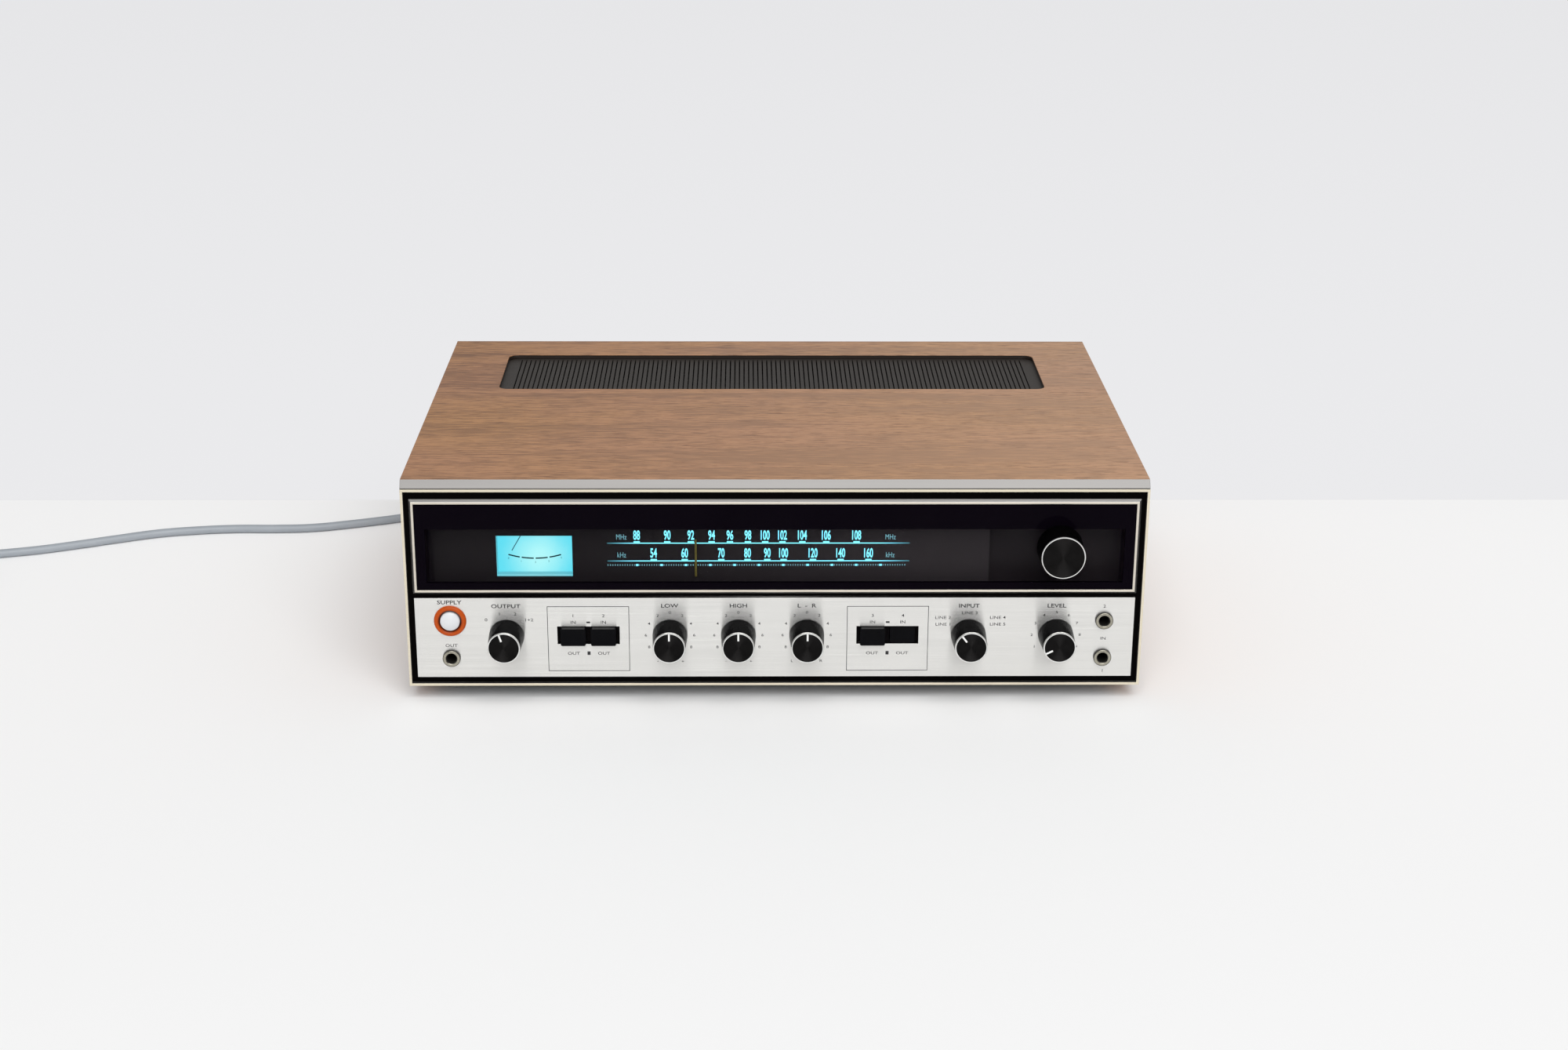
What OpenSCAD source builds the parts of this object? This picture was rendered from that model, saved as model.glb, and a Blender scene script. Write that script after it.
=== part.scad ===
// Stereo receiver: a walnut cabinet round a steel chassis, with a lit tuning dial,
// a brushed control panel and the cord drive between the tuning knob and the pointer.
// X runs to the right, Y to the back and Z up, in millimetres. The origin is on the
// floor, under the middle of the set with its knobs.

/* [Cabinet] */
// Width over the side boards
cabinet_w = 424; // [382:1:480]
// Depth from the bezel lip to the back edge of the boards
cabinet_d = 290; // [261:1:340]
// Thickness of the veneered boards
board_t = 12; // [9:0.5:12.5]
// Height of the bezel above the floor
foot_h = 9; // [6:0.5:14]
// Diameter of a foot at its top
foot_d = 30; // [22:1:36]

/* [Vent] */
// Width of the vent in the top board
vent_w = 347; // [300:1:354]
// Depth of the vent, front to back
vent_d = 78; // [50:1:84]
// Wood behind the vent
vent_back = 33; // [24:1:60]
// Corner radius of the vent
vent_r = 6; // [3:0.5:10]
// How far the grille lies below the top
vent_recess = 3; // [2:0.5:5]
// Pitch of the slots in the grille
slot_pitch = 3; // [2.5:0.5:6]
// Width of a slot in the grille
slot_w = 0.8; // [0.6:0.1:2]
// Thickness of the grille
grille_t = 1.5; // [1:0.1:3]

/* [Bezel] */
// Width of the bezel lip, seen from the front
lip_t = 1.5; // [1:0.1:2.5]
// Depth of the black surround behind the lip
lip_recess = 2.5; // [1.5:0.1:2.7]
// Height of the sloped strip above the lip
bevel_h = 5; // [4:0.5:8]
// Depth of the sloped strip and of the bezel
bevel_d = 3.7; // [3.5:0.1:5]
// Black surround above the dial and below the panel
surround_h = 4.4; // [2:0.1:6]

/* [Control panel] */
// Height of the control panel
panel_h = 49.1; // [47:0.1:56]
// Black surround beside the panel
panel_side = 3.7; // [2:0.1:6]
// How far the panel and dial frame stand in front of the lip
face_proud = 0.5; // [0:0.1:1]
// Height of the row of knobs above the panel's lower edge
knob_row = 26; // [24:0.5:28]
// Height of the lower jacks above the panel's lower edge
jack_row = 12.1; // [11:0.1:14]
// Distance from the lower jacks to the upper row
jack_pitch = 23; // [22:0.5:26]
// Middle of the three tone knobs
tone_x = -21.3; // [-23:0.1:-19]
// Pitch of the three tone knobs
tone_pitch = 39.4; // [36:0.1:41]
// Middle of the left pair of push buttons
switch_left_x = -107.6; // [-109:0.1:-106]
// Middle of the right pair of push buttons
switch_right_x = 64.7; // [64:0.1:66]

/* [Knobs] */
// Diameter of a knob at its face
knob_d = 18.6; // [16:0.1:20]
// Diameter of a knob at its skirt
skirt_d = 20.4; // [18:0.1:22]
// Length of a knob
knob_len = 19; // [16:0.5:22]
// Diameter of the tuning knob at its face
tuning_d = 25.2; // [22:0.1:28]
// Length of the tuning knob
tuning_len = 17.5; // [15:0.5:18]
// Diameter of the control shafts
shaft_d = 6; // [5:0.5:6.5]

/* [Buttons and jacks] */
// Width of a push button
cap_w = 14.4; // [12:0.1:15]
// Height of a push button
cap_h = 10.4; // [8:0.1:12]
// Middle to middle of two push buttons
cap_pitch = 17.4; // [16:0.1:18]
// Travel of a push button
cap_travel = 4.5; // [3:0.1:5]
// How far a push button stands out of the panel
cap_proud = 3.7; // [3:0.1:5]
// Diameter of the power button
power_d = 11.4; // [10:0.1:12]
// Outer diameter of the ring round the power button
ring_d = 18.7; // [17:0.1:20]
// Bore of a jack
jack_bore_d = 6.5; // [6.4:0.05:6.7]
// Depth of a jack's bore behind the panel's face
jack_depth = 24; // [20:1:28]

/* [Dial] */
// Height of the dial frame
dial_h = 57.5; // [56:0.1:60]
// Black strip between the panel and the dial frame
dial_gap = 2.1; // [1:0.1:4]
// Black surround beside the dial frame
dial_side = 2.9; // [2:0.1:5]
// Width of the dial frame's moulding
mould_w = 2.7; // [2:0.1:3.5]
// Travel of the pointer
pointer_travel = 140; // [130:1:141]
// Left end of the pointer's travel
pointer_left = -79.5; // [-82:0.5:-78]
// Where the pointer stands, from the left end
pointer_at = 33.8; // [10:0.1:100]
// Width of the meter's window
meter_w = 43.6; // [38:0.1:46]
// Height of the meter's window
meter_h = 25.2; // [22:0.1:27]
// Middle of the meter's window, left to right
meter_x = -138.3; // [-140:0.1:-136]
// Middle of the meter's window above the dial frame's lower edge
meter_up = 19.4; // [18:0.1:21]
// Length of the meter's needle
needle_len = 26.6; // [22:0.1:27]
// Angle of the needle at rest, from straight down
needle_rest = 30; // [20:1:35]

/* [Mains cord] */
// Diameter of the cord
cord_d = 5.6; // [5:0.1:5.8]
// Inner radius of the coil, on the cord's middle
coil_in = 23.5; // [22:0.5:26]
// Turns of the coil, in two layers
coil_turns = 6.25; // [4.25:1:8.25]
// Pitch of the coil's turns
coil_pitch = 6.3; // [6.2:0.1:8]

/* [Hidden] */
$fn = 64;
eps = 0.01;

// Clearances: pieces that stay put, shafts that turn, and pieces that pass each other
fit = 0.1;
run_fit = 0.05;
clear = 0.3;

// Levels of the front, from the floor up
lip_z0 = foot_h;
panel_z0 = lip_z0 + lip_t + surround_h;
panel_z1 = panel_z0 + panel_h;
dial_z0 = panel_z1 + dial_gap;
dial_z1 = dial_z0 + dial_h;
lip_z1 = dial_z1 + surround_h + lip_t;
top_z = lip_z1 + bevel_h;

// Depths from the lip plane, which is local Y = 0
knob_gap = 0.5;
knob_y1 = -face_proud - knob_gap;
knob_y0 = knob_y1 - knob_len;
front_y = -(cabinet_d + knob_y0) / 2;
glass_y = 0.3;
scale_y = 10;
scale_t = 1.5;
wall_y = 16;
sheet_t = 1.2;
wall_back = wall_y + sheet_t;

// Widths and places across the front
panel_w = cabinet_w - 2 * (lip_t + panel_side);
dial_w = cabinet_w - 2 * (lip_t + dial_side);
window_w = dial_w - 2 * mould_w;
window_h = dial_h - 2 * mould_w;
window_z = (dial_z0 + dial_z1) / 2;

// The outer controls share the room between the push buttons and the ends of the panel
left_room = panel_w / 2 + switch_left_x;
right_room = panel_w / 2 - switch_right_x;
left_column = -panel_w / 2 + 0.2016 * left_room;
speakers_x = -panel_w / 2 + 0.5262 * left_room;
selector_x = switch_right_x + 0.3294 * right_room;
volume_x = switch_right_x + 0.6847 * right_room;
right_column = panel_w / 2 - 0.121 * right_room;
pot_xs = [tone_x - tone_pitch, tone_x, tone_x + tone_pitch, volume_x];
rotary_xs = [speakers_x, selector_x];
knob_xs = concat(pot_xs, rotary_xs);
switch_xs = [switch_left_x, switch_right_x];
knob_z = panel_z0 + knob_row;
jack_z = panel_z0 + jack_row;
power_z = jack_z + jack_pitch;
mic_zs = [jack_z, power_z];
tuning_x = volume_x;
tuning_z = window_z;

// Chassis, boards and rear panel
inner_w = cabinet_w - 2 * board_t - 1;
floor_z = foot_h + 2;
deck_z = floor_z + sheet_t;
wall_top = dial_z1 - 8.6;
rear_recess = 16;
rear_y = cabinet_d - rear_recess;
rear_back = rear_y + sheet_t;

// Control shafts, bushes and push switches
shaft_r = shaft_d / 2;
bush_r = shaft_r + 1;
bush_len = 5;
pot_r = 10;
pot_len = 12;
rotary_r = 15;
rotary_len = 15;
pot_bore_end = wall_back + 9;
cap_back = 6;
stem_w = 4;
slot_gap = 0.3;
switch_w = 2 * cap_pitch + 5;
switch_len = 16;

// Jacks and the power switch
jack_bush_r = jack_bore_d / 2 + 1.45;
jack_flange_r = jack_bush_r + 0.4;
jack_flange_t = 1.6;
jack_body_w = 14;
power_r = power_d / 2;
power_sleeve_r = power_r + 2.3;
power_push = 1;
power_body_w = 14;
power_body_end = 34;

// Dial drive: radii are those of the cord's middle line
drive_cord_d = 1;
drive_y = 38;
spool_r = 4;
pulley_r = 6.8;
drum_r = pointer_travel / PI;
drum_x = 30;
drum_z = deck_z + drum_r + 5;
pulley_z = wall_top - 3.5;
pulley_reach = 20;
pulley_xs = [pointer_left - pulley_reach, pointer_left + pointer_travel + pulley_reach];
pointer_x = pointer_left + pointer_at;
scale_x0 = -window_w / 2 + 9;
scale_x1 = tuning_x - 39;
scale_z0 = dial_z0 + mould_w;
scale_z1 = dial_z1 - 10.6;
meter_z = dial_z0 + meter_up;
meter_y = scale_y + scale_t;
pivot_up = 12;
meter_pivot_z = meter_z + meter_h / 2 + pivot_up;
meter_wall = 1.5;
meter_deep = 20;
meter_back = meter_y + meter_deep;

// Tuning capacitor on the tuner board
tuner_up = 24;
tuner_z = deck_z + tuner_up;
board_sheet = 1.6;
gang_y0 = drive_y + 6;
gang_len = 46;
gang_r = 18;
rotor_pitch = 6;
rotor_r = 3;

// Strain relief and mains cord. The route is in the frame of the whole set:
// out of the relief, down to the floor, left past the set and on to the coil.
relief_x = -165;
relief_z = 40;
cord_sides = 10;
route = [
    [-165, 171, 40], [-165, 183, 40], [-168, 194, 38], [-176, 201, 33], [-187, 203, 26],
    [-199, 200, 18], [-214, 192, 10], [-230, 182, 5], [-246, 173, 2.8], [-260, 166, 2.8],
    [-275, 160, 2.8], [-292, 154, 2.8], [-316, 147, 2.8], [-342, 145, 2.8], [-368, 145, 2.8],
    [-394, 142, 2.8], [-420, 136, 2.8], [-446, 125, 2.8], [-470, 114, 2.8], [-494, 104, 2.8],
    [-518, 97, 2.8], [-540, 91, 3.1], [-552, 88.4, 3.4], [-560, 88, 3.4]
];
coil_layer = cord_d + 0.6;
coil_rings = 24;
coil_sides = 6;
tail_len = 26;
plug_t = 13.7;
plug_len = 36;

// Shapes that several pieces share

// Puts a piece, drawn with Y = 0 on the bezel lip, where the set stands
module in_set() {
    translate([0, front_y, 0]) children();
}

// Extrudes a front view, drawn in X and Z, from y0 to y1
module slab(y0, y1) {
    translate([0, y1, 0]) rotate([90, 0, 0]) linear_extrude(y1 - y0) children();
}

// Extrudes a side view, drawn in Y and Z, from x0 to x1
module beam(x0, x1) {
    translate([x0, 0, 0]) rotate([90, 0, 90]) linear_extrude(x1 - x0) children();
}

// Turns a profile of radius and Y about the line through x and z
module turned(x, z) {
    translate([x, 0, z]) rotate([-90, 0, 0]) rotate_extrude() children();
}

// Straight round bar along Y
module rod(x, z, r, y0, y1) {
    translate([x, y0, z]) rotate([-90, 0, 0]) cylinder(r = r, h = y1 - y0);
}

module rounded_rect(w, h, r) {
    square([w - 2 * r, h], center = true);
    square([w, h - 2 * r], center = true);
    for (sx = [-1, 1], sy = [-1, 1])
        translate([sx * (w / 2 - r), sy * (h / 2 - r)]) circle(r);
}

module rect(x0, z0, x1, z1) {
    translate([x0, z0]) square([x1 - x0, z1 - z0]);
}

// Holes that the panel and the black plate behind it have in common
module control_holes() {
    for (x = knob_xs) translate([x, knob_z]) circle(bush_r + clear);
    for (x = switch_xs)
        translate([x, knob_z])
            square([cap_pitch + cap_w + 4, cap_h + 2 * slot_gap], center = true);
    translate([left_column, power_z]) circle(power_sleeve_r + fit);
    translate([left_column, jack_z]) circle(jack_bush_r + fit);
    for (z = mic_zs) translate([right_column, z]) circle(jack_bush_r + fit);
}

// Cabinet

// Top board: mitred to the sides, with the vent cut through and a rebate below for the grille
ledge = 3;
vent_y = cabinet_d - vent_back - vent_d / 2;

module cabinet_top() {
    half = cabinet_w / 2;
    under = top_z - board_t;
    color("sienna") in_set() difference() {
        slab(bevel_d, cabinet_d)
            polygon([[-half, top_z], [half, top_z], [half - board_t, under], [board_t - half, under]]);
        translate([0, vent_y, under - 1])
            linear_extrude(board_t + 2) rounded_rect(vent_w, vent_d, vent_r);
        translate([0, vent_y, under - 1])
            linear_extrude(board_t + 1 - vent_recess)
                rounded_rect(vent_w + 2 * ledge, vent_d + 2 * ledge, vent_r + ledge);
    }
}

module side_board(side) {
    outer = side * cabinet_w / 2;
    inner = outer - side * board_t;
    color("sienna") in_set() slab(bevel_d, cabinet_d)
        polygon([[outer, lip_z0], [outer, top_z], [inner, top_z - board_t], [inner, lip_z0]]);
}

module cabinet_side_left() {
    side_board(-1);
}

module cabinet_side_right() {
    side_board(1);
}

// Stamped grille that lies under the ledge of the vent
module vent_grille() {
    slots = floor((vent_w - 2 * vent_r) / slot_pitch);
    color("dimgray") in_set()
        translate([0, vent_y, top_z - vent_recess - grille_t])
            linear_extrude(grille_t) difference() {
                rounded_rect(vent_w + 2 * (ledge - fit), vent_d + 2 * (ledge - fit), vent_r + ledge);
                for (i = [0 : slots - 1])
                    translate([(i - (slots - 1) / 2) * slot_pitch, 0])
                        square([slot_w, vent_d - 4], center = true);
            }
}

// Front

// Aluminium frame: sloped strip and groove on top, plain lip on the other three sides
module front_bezel() {
    half = cabinet_w / 2;
    groove_y = 0.5;
    groove_w = 0.4;
    groove_h = 0.6;
    slope_y = groove_y + groove_w;
    color("gainsboro") in_set() {
        beam(-half, half)
            polygon([
                [0, lip_z1 - lip_t], [0, lip_z1], [groove_y, lip_z1], [groove_y, lip_z1 - groove_h],
                [slope_y, lip_z1 - groove_h], [slope_y, lip_z1 + groove_h], [bevel_d, top_z],
                [bevel_d, lip_z1 - lip_t]
            ]);
        slab(0, bevel_d) difference() {
            rect(-half, lip_z0, half, lip_z1 - lip_t);
            rect(lip_t - half, lip_z0 + lip_t, half - lip_t, lip_z1);
        }
    }
}

// Black steel plate behind the lip: it shows as the surround and carries panel, frame and glass
glass_rest = 3;

module front_plate() {
    half = cabinet_w / 2 - lip_t - fit;
    color("black") in_set() slab(lip_recess, bevel_d) difference() {
        rect(-half, lip_z0 + lip_t + fit, half, lip_z1 - lip_t - fit);
        translate([0, window_z])
            square([window_w - 2 * glass_rest, window_h - 2 * glass_rest], center = true);
        control_holes();
    }
}

module control_panel() {
    color("lightgray") in_set() slab(-face_proud, lip_recess) difference() {
        rect(-panel_w / 2, panel_z0, panel_w / 2, panel_z1);
        control_holes();
    }
}

// Silver moulding with its outer edge sloped back and a flat land beside the glass
module dial_frame() {
    half = dial_w / 2;
    slope = 1.4;
    drop = 1.6;
    front = -face_proud;
    color("silver") in_set() difference() {
        intersection() {
            beam(-half, half)
                polygon([
                    [lip_recess, dial_z0], [front + drop, dial_z0], [front, dial_z0 + slope],
                    [front, dial_z1 - slope], [front + drop, dial_z1], [lip_recess, dial_z1]
                ]);
            translate([0, 0, dial_z0]) linear_extrude(dial_h)
                polygon([
                    [-half, lip_recess], [-half, front + drop], [slope - half, front],
                    [half - slope, front], [half, front + drop], [half, lip_recess]
                ]);
        }
        slab(front - 1, lip_recess + 1)
            translate([0, window_z]) square([window_w, window_h], center = true);
    }
}

// Smoked acrylic window, with a hole for the tuning shaft
module dial_glass() {
    color([0.1, 0.1, 0.12, 0.6]) in_set() slab(glass_y, lip_recess) difference() {
        translate([0, window_z]) square([window_w - 2 * fit, window_h - 2 * fit], center = true);
        translate([tuning_x, tuning_z]) circle(shaft_r + 1.5);
    }
}

// Dial and its drive

// Black scale plate on six bosses, with the meter's window cut in it
module dial_scale() {
    boss_r = 3;
    boss_inset = 6;
    boss_xs = [scale_x0 + boss_inset, meter_x + meter_w / 2 + 8, scale_x1 - boss_inset];
    color("black") in_set() {
        slab(scale_y, scale_y + scale_t) difference() {
            rect(scale_x0, scale_z0, scale_x1, scale_z1);
            translate([meter_x, meter_z]) square([meter_w, meter_h], center = true);
        }
        for (x = boss_xs)
            rod(x, scale_z0 + boss_inset, boss_r, scale_y + scale_t - eps, wall_y);
        for (x = [boss_xs[0], boss_xs[2]])
            rod(x, scale_z1 - boss_inset, boss_r, scale_y + scale_t - eps, wall_y);
    }
}

// Pointer blade in front of the scale, hung on a saddle that rides the plate's top edge;
// an arm reaches back over the chassis to the cord and holds it between two prongs
module dial_pointer() {
    blade_w = 1.2;
    blade_t = 1;
    blade_y = scale_y - 1.8;
    saddle_w = 9;
    saddle_t = 1.4;
    saddle_z = scale_z1 + clear;
    rear_arm_y = scale_y + scale_t + clear;
    arm_z = wall_top + 0.6;
    arm_t = 1.5;
    prong_t = 1;
    prong_gap = drive_cord_d / 2 + clear;
    prong_top = pulley_z + pulley_r + drive_cord_d;
    color("olive") in_set() translate([pointer_x, 0, 0]) {
        translate([-blade_w / 2, blade_y, scale_z0 + 5]) cube([blade_w, blade_t, scale_z1 - scale_z0 - 4]);
        beam(-saddle_w / 2, saddle_w / 2)
            polygon([
                [blade_y, saddle_z - 3], [blade_y + blade_t, saddle_z - 3], [blade_y + blade_t, saddle_z],
                [rear_arm_y, saddle_z], [rear_arm_y, saddle_z - 3], [rear_arm_y + saddle_t, saddle_z - 3],
                [rear_arm_y + saddle_t, arm_z], [drive_y + prong_gap + prong_t, arm_z],
                [drive_y + prong_gap + prong_t, prong_top], [drive_y + prong_gap, prong_top],
                [drive_y + prong_gap, arm_z + arm_t], [drive_y - prong_gap, arm_z + arm_t],
                [drive_y - prong_gap, prong_top], [drive_y - prong_gap - prong_t, prong_top],
                [drive_y - prong_gap - prong_t, arm_z + arm_t], [rear_arm_y, arm_z + arm_t],
                [rear_arm_y, saddle_z + saddle_t], [blade_y, saddle_z + saddle_t]
            ]);
    }
}

// Moulded meter case, open to the front, with the pivot pin of the needle
pin_r = 0.6;
needle_y = meter_y + 4;
face_y = meter_y + 7;
meter_top = meter_pivot_z + 4;

module meter_outline(grow) {
    half = meter_w / 2 + grow;
    rect(meter_x - half, meter_z - meter_h / 2 - grow, meter_x + half, meter_top + grow);
}

module meter_case() {
    color("white") in_set() {
        difference() {
            slab(meter_y, meter_back) meter_outline(meter_wall);
            slab(meter_y - 1, meter_back - meter_wall) meter_outline(0);
        }
        rod(meter_x, meter_pivot_z, pin_r, needle_y - 1, meter_back);
    }
}

module meter_face() {
    color("paleturquoise") in_set() slab(face_y, face_y + 1) difference() {
        meter_outline(-fit);
        translate([meter_x, meter_pivot_z]) circle(pin_r + run_fit);
    }
}

// Needle with its hub and a counterweight above the pivot
module meter_needle() {
    hub_r = 2;
    hub_t = 2;
    needle_w = 0.5;
    color("black") in_set() translate([meter_x, 0, meter_pivot_z]) rotate([0, needle_rest, 0])
        difference() {
            union() {
                rod(0, 0, hub_r, needle_y, needle_y + hub_t);
                slab(needle_y, needle_y + needle_w) rect(-needle_w / 2, -needle_len, needle_w / 2, 0);
                slab(needle_y, needle_y + hub_t) rect(-1, 0, 1, hub_r + 1.3);
            }
            rod(0, 0, pin_r + run_fit, needle_y - 1, needle_y + hub_t + 1);
        }
}

// Tubular lamps in pairs of spring clips, between the scale plate and the chassis
module dial_lamps() {
    lamp_r = 1.8;
    lamp_len = 22;
    clip_t = 2;
    clip_h = 5;
    lamp_y = (scale_y + scale_t + wall_y) / 2;
    lamp_up = 14;
    lamp_z = scale_z0 + lamp_up;
    lamp_xs = [for (i = [1, 4, 7]) pointer_left + i * pointer_travel / 8];
    color("lemonchiffon") in_set() for (x = lamp_xs) {
        translate([x - lamp_len / 2, lamp_y, lamp_z]) rotate([0, 90, 0]) cylinder(r = lamp_r, h = lamp_len);
        for (side = [-1, 1])
            translate([x + side * lamp_len / 2 - clip_t / 2, scale_y + scale_t, lamp_z - clip_h / 2])
                cube([clip_t, wall_y - scale_y - scale_t, clip_h]);
    }
}

// Knob: tapered black body, ring with a chamfer, face let in behind the ring, blind bore for the shaft
ring_w = 0.9;
face_in = 0.3;

module knob_solid(x, z, y0, y1, face_d, base_d) {
    ring_t = 1.2;
    bore = shaft_r + run_fit;
    r = face_d / 2;
    turned(x, z)
        polygon([
            [0, y0 + face_in], [r - ring_w - 0.7, y0 + face_in], [r - ring_w - 0.6, y0], [r - ring_w, y0],
            [r, y0 + ring_t], [base_d / 2, y1], [bore, y1], [bore, y0 + 5], [0, y0 + 5]
        ]);
}

tuning_y1 = glass_y - 0.8;
tuning_y0 = tuning_y1 - tuning_len;

module tuning_knob() {
    color("black") in_set() knob_solid(tuning_x, tuning_z, tuning_y0, tuning_y1, tuning_d, tuning_d + 1.8);
}

// Tuning shaft with its flywheel and, at its end, the spool that winds the cord
module tuning_shaft() {
    wheel_r = 20;
    wheel_y = wall_back + 2.5;
    wheel_t = 8;
    spool_w = 6;
    flange_t = 1.4;
    flange_r = spool_r + 1.5;
    groove_r = spool_r - drive_cord_d / 2 - clear;
    spool_y = drive_y - spool_w / 2;
    spool_end = drive_y + spool_w / 2;
    color("silver") in_set() turned(tuning_x, tuning_z)
        polygon([
            [0, tuning_y0 + 5.5], [shaft_r, tuning_y0 + 5.5], [shaft_r, wall_back + clear],
            [bush_r, wall_back + clear], [bush_r, wheel_y], [wheel_r, wheel_y],
            [wheel_r, wheel_y + wheel_t], [shaft_r, wheel_y + wheel_t], [shaft_r, spool_y],
            [flange_r, spool_y], [flange_r, spool_y + flange_t], [groove_r, spool_y + flange_t],
            [groove_r, spool_end - flange_t], [flange_r, spool_end - flange_t], [flange_r, spool_end],
            [0, spool_end]
        ]);
}

// Closed loop of cord over both pulleys, the spool and the drum
module loop_outline(grow) {
    hull() {
        for (x = pulley_xs) translate([x, pulley_z]) circle(pulley_r + grow, $fn = 32);
        translate([tuning_x, tuning_z]) circle(spool_r + grow, $fn = 32);
        translate([drum_x, drum_z]) circle(drum_r + grow, $fn = 96);
    }
}

module dial_cord() {
    color("wheat") in_set() slab(drive_y - drive_cord_d / 2, drive_y + drive_cord_d / 2) difference() {
        loop_outline(drive_cord_d / 2);
        loop_outline(-drive_cord_d / 2);
    }
}

// Grooved wheel for the cord: its groove leaves the cord room to run
module grooved_wheel(x, z, r, bore) {
    half = 2.5;
    lip = 1.2;
    groove_r = r - drive_cord_d / 2 - clear;
    rim_r = r + 1;
    turned(x, z)
        polygon([
            [bore, drive_y - half], [rim_r, drive_y - half], [rim_r, drive_y - half + lip],
            [groove_r, drive_y - half + lip], [groove_r, drive_y + half - lip],
            [rim_r, drive_y + half - lip], [rim_r, drive_y + half], [bore, drive_y + half]
        ]);
}

axle_r = 2;

module pulley_left() {
    color("ivory") in_set() grooved_wheel(pulley_xs[0], pulley_z, pulley_r, axle_r + run_fit);
}

module pulley_right() {
    color("ivory") in_set() grooved_wheel(pulley_xs[1], pulley_z, pulley_r, axle_r + run_fit);
}

// Large drum on the capacitor's shaft, with round windows in its web
module tuning_drum() {
    windows = 5;
    window_r = drum_r / 4;
    color("ivory") in_set() difference() {
        grooved_wheel(drum_x, drum_z, drum_r, rotor_r + fit / 2);
        translate([drum_x, 0, drum_z])
            for (i = [0 : windows - 1])
                rotate([0, i * 360 / windows, 0]) rod(drum_r * 0.58, 0, window_r, drive_y - 5, drive_y + 5);
    }
}

// Capacitor frame: two end plates on a base, two rods along the sides and the fixed vanes on them
module capacitor_frame() {
    half = gang_r + 5;
    plate = 2;
    base_z = tuner_z + board_sheet;
    rod_r = 1.5;
    rod_x = gang_r + 2;
    rod_z = drum_z + 12;
    vanes = floor((gang_len - 2 * plate - 6) / rotor_pitch);
    color("lightsteelblue") in_set() difference() {
        union() {
            translate([drum_x - half, gang_y0, base_z]) cube([2 * half, gang_len, plate]);
            for (y = [gang_y0, gang_y0 + gang_len - plate])
                translate([drum_x - half, y, base_z]) cube([2 * half, plate, drum_z + gang_r + 4 - base_z]);
            for (side = [-1, 1])
                rod(drum_x + side * rod_x, rod_z, rod_r, gang_y0 + 1, gang_y0 + gang_len - 1);
            for (i = [0 : vanes - 1])
                translate([drum_x - rod_x, gang_y0 + plate + 5.5 + i * rotor_pitch, drum_z + rotor_r + 2])
                    cube([2 * rod_x, 1, gang_r - 4]);
        }
        rod(drum_x, drum_z, rotor_r + run_fit, gang_y0 - 1, gang_y0 + gang_len + 1);
    }
}

// Rotor: shaft and the half-round vanes that turn in between the fixed ones
module capacitor_rotor() {
    plate = 2;
    vanes = floor((gang_len - 2 * plate - 6) / rotor_pitch) + 1;
    turn = 180 * pointer_at / pointer_travel;
    color("silver") in_set() {
        rod(drum_x, drum_z, rotor_r, drive_y - 5, gang_y0 + gang_len + 2);
        for (i = [0 : vanes - 1])
            translate([drum_x, 0, drum_z]) rotate([0, turn, 0])
                slab(gang_y0 + plate + 2.5 + i * rotor_pitch, gang_y0 + plate + 3.5 + i * rotor_pitch)
                    intersection() {
                        circle(gang_r);
                        rect(-gang_r, 0, gang_r, gang_r);
                    }
    }
}

// Controls on the panel

module power_ring() {
    bulge = 1.5;
    inner = power_r + clear;
    color("darkorange") in_set() turned(left_column, power_z) {
        translate([inner, -face_proud]) square([power_sleeve_r - inner, bevel_d + face_proud]);
        translate([inner, -face_proud - bulge]) square([ring_d / 2 - bulge - inner, bulge]);
        intersection() {
            translate([ring_d / 2 - bulge, -face_proud]) circle(bulge);
            translate([0, -face_proud - bulge]) square([ring_d, bulge]);
        }
    }
}

// Domed button on a stem that slides in its switch
stem_r = 2.5;
stem_len = 17;
power_front = -face_proud - 2.2;

module power_button() {
    dome_r = power_d;
    back = bevel_d - power_push - clear;
    color("whitesmoke") in_set() turned(left_column, power_z) {
        intersection() {
            translate([0, power_front]) square([power_r, back - power_front]);
            translate([0, power_front + dome_r]) circle(dome_r);
        }
        translate([0, back - 1]) square([stem_r, bevel_d + stem_len - back]);
    }
}

module power_switch() {
    w = power_body_w;
    rim = 1.5;
    color("dimgray") in_set() difference() {
        union() {
            translate([left_column - w / 2, bevel_d, power_z - w / 2])
                cube([w, power_body_end - bevel_d, w]);
            translate([left_column - w / 2 - rim, bevel_d, power_z - w / 2 - rim])
                cube([w + 2 * rim, rim, w + 2 * rim]);
        }
        rod(left_column, power_z, stem_r + clear, bevel_d - 1, bevel_d + stem_len + 1);
    }
}

// Jack: flange and bush in front, moulded body behind, one blind bore for the plug
module jack(x, z) {
    w = jack_body_w;
    mouth = -face_proud - jack_flange_t;
    difference() {
        union() {
            rod(x, z, jack_flange_r, mouth, -face_proud);
            rod(x, z, jack_bush_r, mouth, bevel_d + 1);
            translate([x - w / 2, bevel_d, z - w / 2]) cube([w, jack_depth + 3 - bevel_d, w]);
        }
        rod(x, z, jack_bore_d / 2, mouth - 1, jack_depth);
    }
}

module headphone_jack() {
    color("gray") in_set() jack(left_column, jack_z);
}

module microphone_jacks() {
    color("gray") in_set() for (z = mic_zs) jack(right_column, z);
}

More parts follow.
